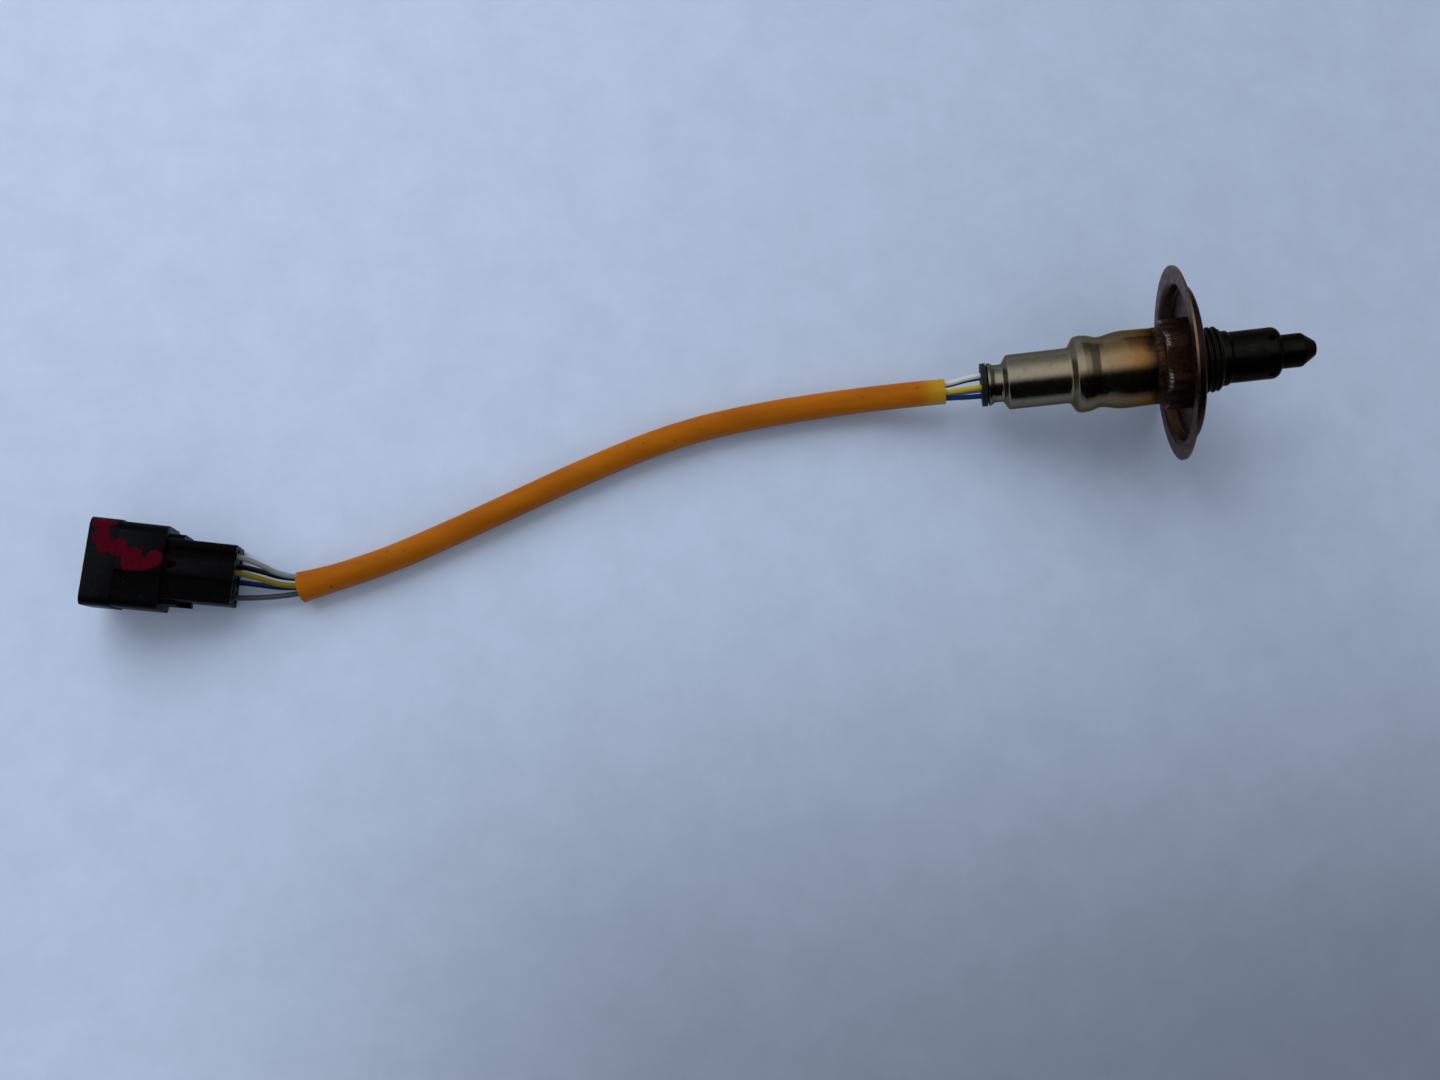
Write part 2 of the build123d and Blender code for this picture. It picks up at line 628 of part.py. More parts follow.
def make_connector_housing():
    """Moulded plug housing: hood, stepped shoulder, rear body with clip slots, and wire cavities."""
    body = plug_bar(
        plug_section(REAR_BODY_WIDTH, 0, REAR_BODY_HEIGHT, BODY_ROUND, BODY_NEAR_ROUND, BODY_ROUND),
        0,
        REAR_BODY_LENGTH,
    )
    shoulder_top = REAR_BODY_HEIGHT - SHOULDER_BELOW_TOP
    shoulder = plug_section(SHOULDER_WIDTH, -HOOD_DROP / 2, shoulder_top, BODY_ROUND, BODY_ROUND, BODY_ROUND)
    body += plug_bar(shoulder, REAR_BODY_LENGTH - SHOULDER_LENGTH, REAR_BODY_LENGTH)
    body += plug_bar(hood_section(0), REAR_BODY_LENGTH, PLUG_LENGTH)
    body += plug_bar(hood_section(MOUTH_BAND_RISE), PLUG_LENGTH - MOUTH_BAND_LENGTH, PLUG_LENGTH)
    return cut_plug(body + plug_trim())


def plug_trim():
    """Raised pad on the hood, channel for the mate's latch under it, and tab on the near side."""
    hood_top = REAR_BODY_HEIGHT + HOOD_RISE
    pad_far = -HOOD_WIDTH / 2 + PAD_FROM_FAR_SIDE
    pad = plug_block(
        REAR_BODY_LENGTH,
        PLUG_LENGTH - MOUTH_BAND_LENGTH,
        pad_far,
        pad_far + PAD_WIDTH,
        hood_top - 1,
        hood_top + PAD_RISE,
    )
    channel = plug_section(
        LOCK_CHANNEL_WIDTH, -HOOD_DROP - LOCK_CHANNEL_DEPTH, -HOOD_DROP + HOOD_WALL, 0, 0, BODY_ROUND
    )
    channel = plug_bar(channel, REAR_BODY_LENGTH, PLUG_LENGTH)
    tab = plug_block(
        REAR_BODY_LENGTH - SIDE_TAB_LENGTH,
        REAR_BODY_LENGTH,
        REAR_BODY_WIDTH / 2 - 1,
        REAR_BODY_WIDTH / 2 + SIDE_TAB_REACH,
        SIDE_TAB_HEIGHT,
        2 * SIDE_TAB_HEIGHT,
    )
    return pad + channel + tab


def cut_plug(body):
    """Cut the hood's hollow, the clip slots and the six cavities."""
    floor = PLUG_LENGTH - HOOD_DEPTH
    body -= plug_bar(hood_section(-HOOD_WALL), floor, PLUG_LENGTH)
    latch_way = LOCK_CHANNEL_WIDTH / 2 - HOOD_WALL
    latch_floor = -HOOD_DROP - LOCK_CHANNEL_DEPTH + HOOD_WALL
    body -= plug_block(floor, PLUG_LENGTH, -latch_way, latch_way, latch_floor, 1)
    top = REAR_BODY_HEIGHT
    rail = -REAR_BODY_WIDTH / 2 + RAIL_WIDTH
    tongue = rail + CHANNEL_WIDTH
    step = tongue + TONGUE_WIDTH
    body -= plug_block(0, REAR_BODY_LENGTH, rail + RAIL_LIP, tongue, top - CHANNEL_DEPTH, top)
    body -= plug_block(0, REAR_BODY_LENGTH, rail, tongue, top - CHANNEL_DEPTH, top - RAIL_LIP_THICKNESS)
    body -= plug_block(0, REAR_BODY_LENGTH, step, REAR_BODY_WIDTH / 2, top - NEAR_STEP_DEPTH, top)
    window_x = REAR_BODY_LENGTH - LOCK_WINDOW_FROM_HOOD
    window_y = (tongue + step) / 2
    body -= plug_block(
        window_x - LOCK_WINDOW,
        window_x,
        window_y - LOCK_WINDOW / 2,
        window_y + LOCK_WINDOW / 2,
        top - CHANNEL_DEPTH,
        top,
    )
    for place in [wire[2] for wire in WIRES.values()] + [SPARE_CAVITY]:
        y, z = cavity_place(*place)
        half = TERMINAL_HOLE / 2
        body -= cavity_rod(place, CAVITY_DIAMETER / 2, 0, CAVITY_DEPTH)
        body -= plug_block(CAVITY_DEPTH, floor, y - half, y + half, z - half, z + half)
    return body


def make_terminal_pin(place):
    """Male terminal: crimp barrel on the wire, square body in its hole and a tapered blade."""
    y, z = cavity_place(*place)
    floor = PLUG_LENGTH - HOOD_DEPTH
    tip = floor + BLADE_REACH
    half = TERMINAL_HOLE / 2 - FIT
    barrel_end = PLUG_WIRE_DEPTH + CRIMP_BARREL_LENGTH
    barrel = cavity_rod(place, CRIMP_BARREL_DIAMETER / 2, PLUG_WIRE_DEPTH, barrel_end)
    shoulder = floor - TERMINAL_STOP
    body = plug_block(barrel_end, shoulder, y - half, y + half, z - half, z + half)
    half_y, half_z = BLADE_WIDTH / 2, BLADE_THICKNESS / 2
    blade = plug_block(shoulder, tip, y - half_y, y + half_y, z - half_z, z + half_z)
    blade = chamfer(blade.faces().sort_by(Axis.X)[-1].edges(), BLADE_CHAMFER)
    return barrel + body + blade


def make_pin_retainer():
    """Plate on the hood's floor with a window for every pin."""
    floor = PLUG_LENGTH - HOOD_DEPTH
    middle = REAR_BODY_HEIGHT / 2
    front = floor + RETAINER_THICKNESS
    half_width, half_height = RETAINER_WIDTH / 2, RETAINER_HEIGHT / 2
    plate = plug_block(floor, front, -half_width, half_width, middle - half_height, middle + half_height)
    plate = fillet(plate.edges().filter_by(Axis.X), BODY_ROUND)
    for place in [wire[2] for wire in WIRES.values()] + [SPARE_CAVITY]:
        y, z = cavity_place(*place)
        half_y, half_z = BLADE_WIDTH / 2 + 2 * FIT, BLADE_THICKNESS / 2 + 2 * FIT
        plate -= plug_block(floor, front, y - half_y, y + half_y, z - half_z, z + half_z)
    return plate


def ribbed_plug(place):
    """Rubber stopper with two grooves, flush inside the mouth of a cavity."""
    outer = CAVITY_DIAMETER / 2 - FIT
    end = SEAL_INSET + SEAL_LENGTH
    groove = SEAL_LENGTH / 5
    stopper = cavity_rod(place, outer, SEAL_INSET, end)
    for start in (SEAL_INSET + groove, end - 2 * groove):
        ring = cavity_rod(place, outer, start, start + groove)
        stopper -= ring - cavity_rod(place, outer - SEAL_RIB_DEPTH, start, start + groove)
    return stopper


def make_wire_seal(place):
    """Seal on a wire: the stopper with the wire's hole."""
    return ribbed_plug(place) - cavity_rod(place, WIRE_DIAMETER / 2 + FIT, 0, CAVITY_DEPTH)


def make_cavity_plug():
    """Blind stopper of the unused cavity, with a dimple in its end."""
    dimple_end = SEAL_INSET + SEAL_LENGTH / 3
    return ribbed_plug(SPARE_CAVITY) - cavity_rod(SPARE_CAVITY, CAVITY_DIAMETER / 5, 0, dimple_end)


# ---- lead ----

def lane_point(points, index, lane):
    """A point of the lead's route moved sideways and up into a lane."""
    here = Vector(*points[index])
    before = Vector(*points[max(index - 1, 0)])
    after = Vector(*points[min(index + 1, len(points) - 1)])
    heading = (after - before).normalized()
    sideways = Vector(heading.Y, -heading.X, 0).normalized()
    up = sideways.cross(heading)
    across, lift = LANES[lane]
    return here + (sideways * across + up * lift) * BUNDLE_RADIUS


def wire_points(colour, laid, plugged):
    """Corner points of a wire's path from the grommet to its cavity."""
    step, lanes, place = WIRES[colour]
    ring = wire_ring(step)
    cavity = cavity_place(*place)
    start = (laid * Pos(*ring, WIRE_END)).position
    leave = (laid * Pos(*ring, GROMMET_REAR - GROMMET_STRAIGHT)).position
    route = LEAD_ROUTE[:-1] + (FAN_POINT,)
    inside = [lane_point(route, i, lane) for i, lane in enumerate(lanes)]
    arrive = (plugged * Pos(-PLUG_STRAIGHT, *cavity)).position
    end = (plugged * Pos(PLUG_WIRE_DEPTH, *cavity)).position
    return [start, leave, *inside, arrive, end]


def bend_radii(points):
    """Bend radius at each corner: as large as the shorter of its two runs allows."""
    radii = []
    for before, here, after in zip(points, points[1:], points[2:]):
        arriving, leaving = here - before, after - here
        half_turn = math.radians(arriving.get_angle(leaving)) / 2
        radii.append(ARC_SHARE * min(arriving.length, leaving.length) / math.tan(half_turn))
    return radii


def run_tube(name, points, outer, inner=0.0):
    """Tube of straight runs and tangent arcs through the points, with its figures printed."""
    radii = bend_radii(points)
    path = FilletPolyline(*points, radius=radii)
    start = Plane(path @ 0, z_dir=path % 0)
    section = start * Circle(outer)
    if inner:
        section -= start * Circle(inner)
    tube = sweep(section, path=path)
    expected = section.area * path.length
    print(name, "length", round(path.length, 1), "bends", [round(r) for r in radii])
    print(name, "volume", round(tube.volume, 1), "section x length", round(expected, 1))
    return tube


# ---- build and write ----

def sensor_pieces():
    """Every piece of the sensor proper, in the sensor's frame."""
    pieces = {
        "metal_shell": make_metal_shell(),
        "flange_plate": make_flange_plate(),
        "outer_protector": make_outer_protector(),
        "inner_protector": make_inner_protector(),
        "sensing_element": make_sensing_element(),
        "element_holder": make_element_holder(),
        "talc_packing": make_talc_packing(),
        "insulator_sleeve": make_insulator_sleeve(),
        "packing_ring": make_packing_ring(),
        "rear_casing": make_rear_casing(),
        "wire_grommet": make_wire_grommet(),
        "contact_holder": make_contact_holder(),
        "holder_spring": make_holder_spring(),
    }
    for colour in WIRES:
        pieces["contact_" + colour] = make_contact(colour)
    return pieces


def plug_pieces():
    """Every piece of the plug, in the plug's frame."""
    places = [wire[2] for wire in WIRES.values()]
    return {
        "connector_housing": make_connector_housing(),
        "terminal_pins": Compound([make_terminal_pin(place) for place in places]),
        "pin_retainer": make_pin_retainer(),
        "wire_seals": Compound([make_wire_seal(place) for place in places]),
        "cavity_plug": make_cavity_plug(),
    }


def laid_on_rim(pieces):
    """Location that lays the sensor on its rim, with the middle of its length over the origin."""
    tilted = Rot(0, 90 - TILT, 0)
    front = (tilted * pieces["inner_protector"]).bounding_box().max.X
    rear = (tilted * pieces["wire_grommet"]).bounding_box().min.X
    height = RIM_DIAMETER / 2 * math.cos(math.radians(TILT))
    return Pos(-(front + rear) / 2, 0, height) * tilted


def main():
    sensor = sensor_pieces()
    laid = laid_on_rim(sensor)
    plugged = Pos(*PLUG_PLACE) * Rot(0, 0, PLUG_TURN) * Rot(0, -PLUG_PITCH, 0)
    nodes = {name: laid * piece for name, piece in sensor.items()}
    nodes.update({name: plugged * piece for name, piece in plug_pieces().items()})
    for colour in WIRES:
        name = "wire_" + colour
        nodes[name] = run_tube(name, wire_points(colour, laid, plugged), WIRE_DIAMETER / 2)
    sleeve_points = [Vector(*point) for point in LEAD_ROUTE]
    sleeve_bore = SLEEVE_DIAMETER / 2 - SLEEVE_WALL
    nodes["lead_sleeve"] = run_tube("lead_sleeve", sleeve_points, SLEEVE_DIAMETER / 2, sleeve_bore)
    for name, piece in nodes.items():
        export_step(piece, f"parts/{name}.step")


main()
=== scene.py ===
import math

import bmesh
import bpy
from mathutils import Euler, Matrix, Vector, noise
from mathutils.bvhtree import BVHTree


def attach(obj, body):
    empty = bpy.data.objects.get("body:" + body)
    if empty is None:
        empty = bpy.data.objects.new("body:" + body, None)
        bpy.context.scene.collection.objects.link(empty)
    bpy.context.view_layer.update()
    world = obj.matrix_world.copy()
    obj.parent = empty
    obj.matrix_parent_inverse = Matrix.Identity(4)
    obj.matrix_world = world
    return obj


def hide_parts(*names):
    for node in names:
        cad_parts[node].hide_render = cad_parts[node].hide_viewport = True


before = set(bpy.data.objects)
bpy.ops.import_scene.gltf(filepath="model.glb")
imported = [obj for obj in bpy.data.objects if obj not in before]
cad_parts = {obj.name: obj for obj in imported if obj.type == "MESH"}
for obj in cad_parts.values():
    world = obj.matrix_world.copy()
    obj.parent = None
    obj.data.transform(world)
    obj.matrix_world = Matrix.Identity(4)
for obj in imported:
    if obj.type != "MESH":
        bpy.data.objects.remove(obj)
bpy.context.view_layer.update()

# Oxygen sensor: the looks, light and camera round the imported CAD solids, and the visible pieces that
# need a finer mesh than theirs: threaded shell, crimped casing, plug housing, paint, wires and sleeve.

# The scene is in metres, in the frame of the CAD model. Places and sizes below that aren't multiplied
# by MM here are in millimetres, and are multiplied by it where they are used.
MM = 0.001

# ---- frames of the sensor and the plug, as in part.py ----
SENSOR_TILT = 15.0                       # degrees that the sensor's axis rises to its tip
SENSOR_ORIGIN = Vector((8.4288, 0.0, 25.6936)) * MM
SENSOR_TURN = Euler((0.0, math.radians(90 - SENSOR_TILT), 0.0))
PLUG_ORIGIN = Vector((-250.63, -42.0, 0.0)) * MM
PLUG_TURN = Euler((0.0, math.radians(-10.0), math.radians(171.45)))
SENSOR = Matrix.LocRotScale(SENSOR_ORIGIN, SENSOR_TURN, None)
PLUG = Matrix.LocRotScale(PLUG_ORIGIN, PLUG_TURN, None)


def sensor_point(x, y, z):
    """A point given in millimetres in the sensor's frame, whose +Z is its axis towards the tip."""
    return SENSOR @ (Vector((x, y, z)) * MM)


def plug_point(x, y, z):
    """A point given in millimetres in the plug's frame, whose +X runs to its mouth."""
    return PLUG @ (Vector((x, y, z)) * MM)


# ---- camera ----
CAMERA_PLACE = Vector((-143.55, -82.64, 322.11)) * MM
CAMERA_TURN = (8.0678, -4.0140, -3.7358)   # degrees
IMAGE_WIDTH = 1440
FOCAL_PIXELS = 1147.0
CAMERA_SENSOR_WIDTH = 36.0
CAMERA_CLIP_START = 0.01                 # metres


def make_camera():
    """Camera that stands where the photo was taken from."""
    data = bpy.data.cameras.new("camera")
    camera = bpy.data.objects.new("camera", data)
    bpy.context.scene.collection.objects.link(camera)
    camera.location = CAMERA_PLACE
    camera.rotation_euler = Euler([math.radians(a) for a in CAMERA_TURN])
    data.sensor_width = CAMERA_SENSOR_WIDTH
    data.lens = FOCAL_PIXELS / IMAGE_WIDTH * data.sensor_width
    data.clip_start = CAMERA_CLIP_START
    bpy.context.scene.camera = camera


# ---- shader helpers ----

class Shader:
    """A Principled material with short calls for the nodes that feed it."""

    def __init__(self, name, color, rough, metal=0.0, **sockets):
        self.material = bpy.data.materials.new(name)
        self.material.use_nodes = True
        self.tree = self.material.node_tree
        self.bsdf = self.tree.nodes["Principled BSDF"]
        self.set("Base Color", (*color, 1.0))
        self.set("Roughness", rough)
        self.set("Metallic", metal)
        for socket, value in sockets.items():
            self.set(socket.replace("_", " "), value)

    def set(self, socket, value):
        """Set a shader socket to a constant, or link it to a node's output."""
        if isinstance(value, bpy.types.NodeSocket):
            self.tree.links.new(value, self.bsdf.inputs[socket])
        else:
            self.bsdf.inputs[socket].default_value = value

    def node(self, kind, inputs, **settings):
        """A node with its settings, and its inputs as constants or links."""
        node = self.tree.nodes.new("ShaderNode" + kind)
        for key, value in settings.items():
            setattr(node, key, value)
        for key, value in inputs.items():
            if isinstance(value, bpy.types.NodeSocket):
                self.tree.links.new(value, node.inputs[key])
            else:
                node.inputs[key].default_value = value
        return node

    def coords(self, origin=(0, 0, 0), turn=(0, 0, 0)):
        """Object coordinates in millimetres, in the frame with this origin and turn."""
        place = self.node("TexCoord", {}).outputs["Object"]
        inputs = {"Vector": place, "Location": origin, "Rotation": turn, "Scale": (MM, MM, MM)}
        return self.node("Mapping", inputs, vector_type="TEXTURE").outputs[0]

    def stretch(self, vector, scale):
        """The coordinates times a scale along each axis."""
        return self.node("VectorMath", {0: vector, 1: scale}, operation="MULTIPLY").outputs[0]

    def split(self, vector):
        """The x, y and z of a vector."""
        return self.node("SeparateXYZ", {0: vector}).outputs

    def noise(self, vector, scale, detail=3.0, rough=0.55, warp=0.0):
        """Noise of about 0.3 to 0.7."""
        inputs = {
            "Vector": vector, "Scale": scale, "Detail": detail, "Roughness": rough, "Distortion": warp
        }
        return self.node("TexNoise", inputs).outputs[0]

    def radius(self, axes):
        """Distance from the third of the split axes."""
        squares = [self.math("POWER", axis, 2.0) for axis in (axes[0], axes[1])]
        return self.math("SQRT", self.math("ADD", *squares))

    def math(self, operation, a, b=0.0, clamp=False):
        """One arithmetic step on two values."""
        return self.node("Math", {0: a, 1: b}, operation=operation, use_clamp=clamp).outputs[0]

    def remap(self, value, low, high, new_low=0.0, new_high=1.0, kind="SMOOTHSTEP"):
        """Map a value from one range to another, held at its ends."""
        inputs = {0: value, 1: low, 2: high, 3: new_low, 4: new_high}
        return self.node("MapRange", inputs, interpolation_type=kind).outputs[0]

    def ramp(self, value, stops):
        """Colour ramp through (place, colour) stops."""
        node = self.node("ValToRGB", {0: value})
        ramp = node.color_ramp
        while len(ramp.elements) < len(stops):
            ramp.elements.new(0.5)
        for element, (place, color) in zip(ramp.elements, stops):
            element.position = place
            element.color = (*color, 1.0)
        return node.outputs[0]

    def mix(self, factor, a, b):
        """Colour a where the factor is 0, b where it is 1."""
        a = (*a, 1.0) if isinstance(a, tuple) else a
        b = (*b, 1.0) if isinstance(b, tuple) else b
        return self.node("Mix", {0: factor, 6: a, 7: b}, data_type="RGBA").outputs[2]

    def bump(self, height, distance, normal=None):
        """Bump from a height of 0 to 1; distance is its size in millimetres."""
        inputs = {"Height": height, "Distance": distance * MM, "Strength": 1.0}
        if normal:
            inputs["Normal"] = normal
        return self.node("Bump", inputs).outputs[0]


def srgb(red, green, blue):
    """Linear colour from 0-255 display values."""
    def linear(value):
        value /= 255
        return value / 12.92 if value <= 0.04045 else ((value + 0.055) / 1.055) ** 2.4
    return linear(red), linear(green), linear(blue)


# ---- mesh helpers ----

SMOOTH_ANGLE = math.radians(32)          # faces that meet at less than this are shaded as one
MERGE_DISTANCE = 0.002 * MM
FLAT_ANGLE = math.radians(1.0)           # faces that meet at less than this are merged
SHARP_ANGLE = math.radians(35.0)         # edges sharper than this are rounded
EDGE_SEGMENTS = 2


def make_piece(name, vertices, faces, material, slot, *nodes):
    """A mesh piece that rides on the root and may replace CAD nodes; slot is not used."""
    mesh = bpy.data.meshes.new(name)
    mesh.from_pydata([tuple(v) for v in vertices], [], faces)
    return finish_piece(name, mesh, material, slot, *nodes)


def finish_piece(name, mesh, material, slot, *nodes):
    """Turn a mesh into a smooth piece; see make_piece."""
    mesh.validate()
    mesh.materials.clear()
    mesh.materials.append(material)
    mesh.shade_smooth()
    mesh.set_sharp_from_angle(angle=SMOOTH_ANGLE)
    piece = bpy.data.objects.new(name, mesh)
    bpy.context.scene.collection.objects.link(piece)
    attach(piece, "root")
    if nodes:
        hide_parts(*nodes)
    return piece


def grid_faces(rows, columns, close_rows=False, start=0):
    """Quads of a grid of vertices that closes round in its columns, and in its rows if asked."""
    faces = []
    for i in range(rows if close_rows else rows - 1):
        for j in range(columns):
            a, b = i * columns, (i + 1) % rows * columns
            k = (j + 1) % columns
            faces.append((start + a + j, start + a + k, start + b + k, start + b + j))
    return faces


def softened_copy(node, width):
    """Mesh of a CAD node with its flat faces merged and its sharp edges rounded to a width."""
    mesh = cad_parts[node].data.copy()
    work = bmesh.new()
    work.from_mesh(mesh)
    bmesh.ops.remove_doubles(work, verts=work.verts, dist=MERGE_DISTANCE)
    bmesh.ops.dissolve_limit(
        work, angle_limit=FLAT_ANGLE, verts=work.verts, edges=work.edges, use_dissolve_boundaries=False
    )
    sharp = [e for e in work.edges if len(e.link_faces) == 2 and e.calc_face_angle(0) > SHARP_ANGLE]
    bmesh.ops.bevel(
        work,
        geom=sharp,
        offset=width,
        segments=EDGE_SEGMENTS,
        profile=0.5,
        affect="EDGES",
        clamp_overlap=True,
    )
    work.to_mesh(mesh)
    work.free()
    return mesh


def turned_point(radius, angle, station):
    """A point round the sensor's axis, in metres, from a radius and a station in millimetres."""
    return sensor_point(radius * math.cos(angle), radius * math.sin(angle), station)


# ---- lead: wires and sleeve ----
WIRE_DIAMETER = 1.5 * MM
SLEEVE_DIAMETER = 7.4 * MM
SLEEVE_WALL = 0.5 * MM
BUNDLE_RADIUS = 1.95 * MM
GROMMET_REAR = -52.25                    # station along the sensor's axis
GROMMET_WIRE_DEPTH = 4.0                 # how far a wire reaches into the grommet
GROMMET_STRAIGHT = 2.4                   # straight run of a wire behind the grommet
WIRE_RING_RADIUS = 3.1                   # of the circle that the wires leave the grommet on
CLOCKING = 204.0                         # degrees round to the yellow wire's place on it
PLUG_STRAIGHT = 1.3                      # straight run of a wire behind the plug
PLUG_WIRE_DEPTH = 5.0
CURVE_STEPS = 24
WIRE_ROUNDNESS = 5
CAVITY_PITCH = 4.5
CAVITY_ROW_PITCH = 5.5
CAVITY_STAGGER = 2.3
REAR_BODY_HEIGHT = 13.0

# Middle of the lead from the sensor to the plug, and the point where the wires fan out by the plug
LEAD_ROUTE = [Vector(point) * MM for point in (
    (-51.7, -0.55, 9.3),
    (-63.8, -0.45, 6.4),
    (-80.8, -1.05, 4.05),
    (-103.8, -3.45, 3.72),
    (-127.8, -7.75, 3.7),
    (-153.8, -16.75, 3.7),
    (-187.8, -31.15, 3.7),
    (-215.8, -41.95, 3.7),
    (-234.6, -45.85, 3.72),
)]
FAN_POINT = Vector((-234.4, -45.8, 3.74)) * MM
# (across, up) of the lanes that wires lie in, in bundle radii from the lead's middle
LANES = {
    "top": (-0.41, 0.91),
    "far_high": (0.74, 0.67),
    "far_low": (0.87, -0.50),
    "bottom": (-0.21, -0.98),
    "near": (-0.99, -0.10),
    "middle": (0.05, 0.0),
}
# Each wire's place on the grommet's circle, its lanes along the lead and its cavity in the plug.
WIRES = {
    "yellow": (0, ("top",) * 9, (0, 1)),
    "white": (1, ("far_high",) * 9, (-1, 1)),
    "black": (2, ("far_low",) * 9, (-1, 0)),
    "grey": (3, ("bottom",) * 5 + ("middle",) * 2 + ("near",) * 2, (1, 0)),
    "blue": (4, ("near",) * 6 + ("bottom",) * 3, (0, 0)),
}


def lead_axes(points, index):
    """Unit vectors along, across and up from the lead at one of its points."""
    before = points[max(index - 1, 0)]
    after = points[min(index + 1, len(points) - 1)]
    heading = (after - before).normalized()
    sideways = Vector((heading.y, -heading.x, 0)).normalized()
    return heading, sideways, sideways.cross(heading)


def lane_point(points, index, lane):
    """A point of the lead's route moved sideways and up into a lane."""
    _, sideways, up = lead_axes(points, index)
    across, lift = LANES[lane]
    return points[index] + (sideways * across + up * lift) * BUNDLE_RADIUS


def wire_ring(colour):
    """(x, y) of a wire's place on the grommet's circle, in the sensor's frame."""
    angle = math.radians(CLOCKING - 360 * WIRES[colour][0] / len(WIRES))
    return WIRE_RING_RADIUS * math.cos(angle), WIRE_RING_RADIUS * math.sin(angle)


def wire_points(colour):
    """Points of a wire's route from the grommet to its cavity."""
    _, lanes, (column, row) = WIRES[colour]
    ring = wire_ring(colour)
    across = column * CAVITY_PITCH + (0.5 - row) * CAVITY_STAGGER
    cavity = (across, REAR_BODY_HEIGHT / 2 + (row - 0.5) * CAVITY_ROW_PITCH)
    route = LEAD_ROUTE[:-1] + [FAN_POINT]
    return [
        sensor_point(*ring, GROMMET_REAR + GROMMET_WIRE_DEPTH),
        sensor_point(*ring, GROMMET_REAR - GROMMET_STRAIGHT),
        *[lane_point(route, i, lane) for i, lane in enumerate(lanes)],
        plug_point(-PLUG_STRAIGHT, *cavity),
        plug_point(PLUG_WIRE_DEPTH, *cavity),
    ]


def nurbs_curve(name, points):
    """Open NURBS curve with the points as its control points."""
    data = bpy.data.curves.new(name, "CURVE")
    data.dimensions = "3D"
    spline = data.splines.new("NURBS")
    spline.points.add(len(points) - 1)
    for control, point in zip(spline.points, points):
        control.co = (*point, 1.0)
    spline.order_u = 3
    spline.use_endpoint_u = True
    return data


def make_wire(colour, material):
    """Insulated wire along its route, in place of the CAD wire."""
    data = nurbs_curve("wire_line_" + colour, wire_points(colour))
    data.bevel_depth = WIRE_DIAMETER / 2
    data.bevel_resolution = WIRE_ROUNDNESS
    data.resolution_u = CURVE_STEPS
    data.use_fill_caps = True
    data.materials.append(material)
    wire = bpy.data.objects.new("lead_wire_" + colour, data)
    bpy.context.scene.collection.objects.link(wire)
    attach(wire, "root")
    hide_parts("wire_" + colour)


def spline_points(points, resolution):
    """Points along the NURBS spline of a route."""
    data = nurbs_curve("path_line", points)
    data.resolution_u = resolution
    carrier = bpy.data.objects.new("path_line", data)
    mesh = bpy.data.meshes.new_from_object(carrier)
    path = [vertex.co.copy() for vertex in mesh.vertices]
    bpy.data.objects.remove(carrier)
    bpy.data.curves.remove(data)
    bpy.data.meshes.remove(mesh)
    return path


SLEEVE_STEPS = 26                        # points between two of the route's
SLEEVE_SIDES = 56
SLEEVE_SLANT = 0.07                      # how far the cut at the plug end leans, in diameters
SLEEVE_SLANT_LENGTH = 4.0 * MM
SLEEVE_FLARE = 0.65 * MM                 # how far the open end spreads sideways
SLEEVE_FLARE_LENGTH = 14.0 * MM
SLEEVE_TRIM = 0.35 * MM                  # cut off at the plug end
SLEEVE_CREASE = 0.11                     # depths of the lengthwise creases and the finer ripple
SLEEVE_RIPPLE = 0.035
SLEEVE_SHRINK = 0.06                     # what both take off the radius
CREASE_RATE = (28, 2.2)                  # noise per metre along, and per radius round
RIPPLE_RATE = 160
RIPPLE_SEED = 7
FLOOR_GAP = 0.02 * MM                    # the floor lies this far under the part


def sleeve_relief(along, angle):
    """Height of the sleeve's creases and ripple, in metres."""
    x, y = math.cos(angle), math.sin(angle)
    rate, turn = CREASE_RATE
    crease = noise.noise(Vector((along * rate, x * turn, y * turn)))
    ripple = noise.noise(Vector((along * RIPPLE_RATE, x, y + RIPPLE_SEED)))
    return (SLEEVE_CREASE * crease + SLEEVE_RIPPLE * ripple - SLEEVE_SHRINK) * MM


def make_sleeve(material):
    """Silicone sleeve: a hollow tube along the lead, with faint lengthwise creases."""
    path = spline_points(LEAD_ROUTE, SLEEVE_STEPS)
    reach = [0.0]
    for a, b in zip(path, path[1:]):
        reach.append(reach[-1] + (b - a).length)
    reach = [r for r in reach if r < reach[-1] - SLEEVE_TRIM]
    path = path[:len(reach)]
    rings = []
    for i, here in enumerate(path):
        heading, sideways, up = lead_axes(path, i)
        left = reach[-1] - reach[i]
        flare = SLEEVE_FLARE * max(0.0, 1 - left / SLEEVE_FLARE_LENGTH) ** 2
        slant = SLEEVE_SLANT * max(0.0, 1 - left / SLEEVE_SLANT_LENGTH)
        for wall in (0.0, SLEEVE_WALL):
            ring = []
            for j in range(SLEEVE_SIDES):
                angle = math.tau * j / SLEEVE_SIDES
                radius = SLEEVE_DIAMETER / 2 - wall + sleeve_relief(reach[i], angle)
                radius += flare * (math.cos(angle) ** 2 - 0.5 * math.sin(angle) ** 2)
                around = sideways * math.cos(angle) + up * math.sin(angle)
                place = here + around * radius + heading * slant * SLEEVE_DIAMETER * math.sin(angle)
                place.z = max(place.z, FLOOR_GAP)
                ring.append(place)
            rings.append(ring)
    outer, inner = rings[0::2], rings[1::2]
    loop = outer + inner[::-1]
    vertices = [v for ring in loop for v in ring]
    faces = grid_faces(len(loop), SLEEVE_SIDES, close_rows=True)
    piece = make_piece("orange_sleeve", vertices, faces, material, "sleeve_orange", "lead_sleeve")


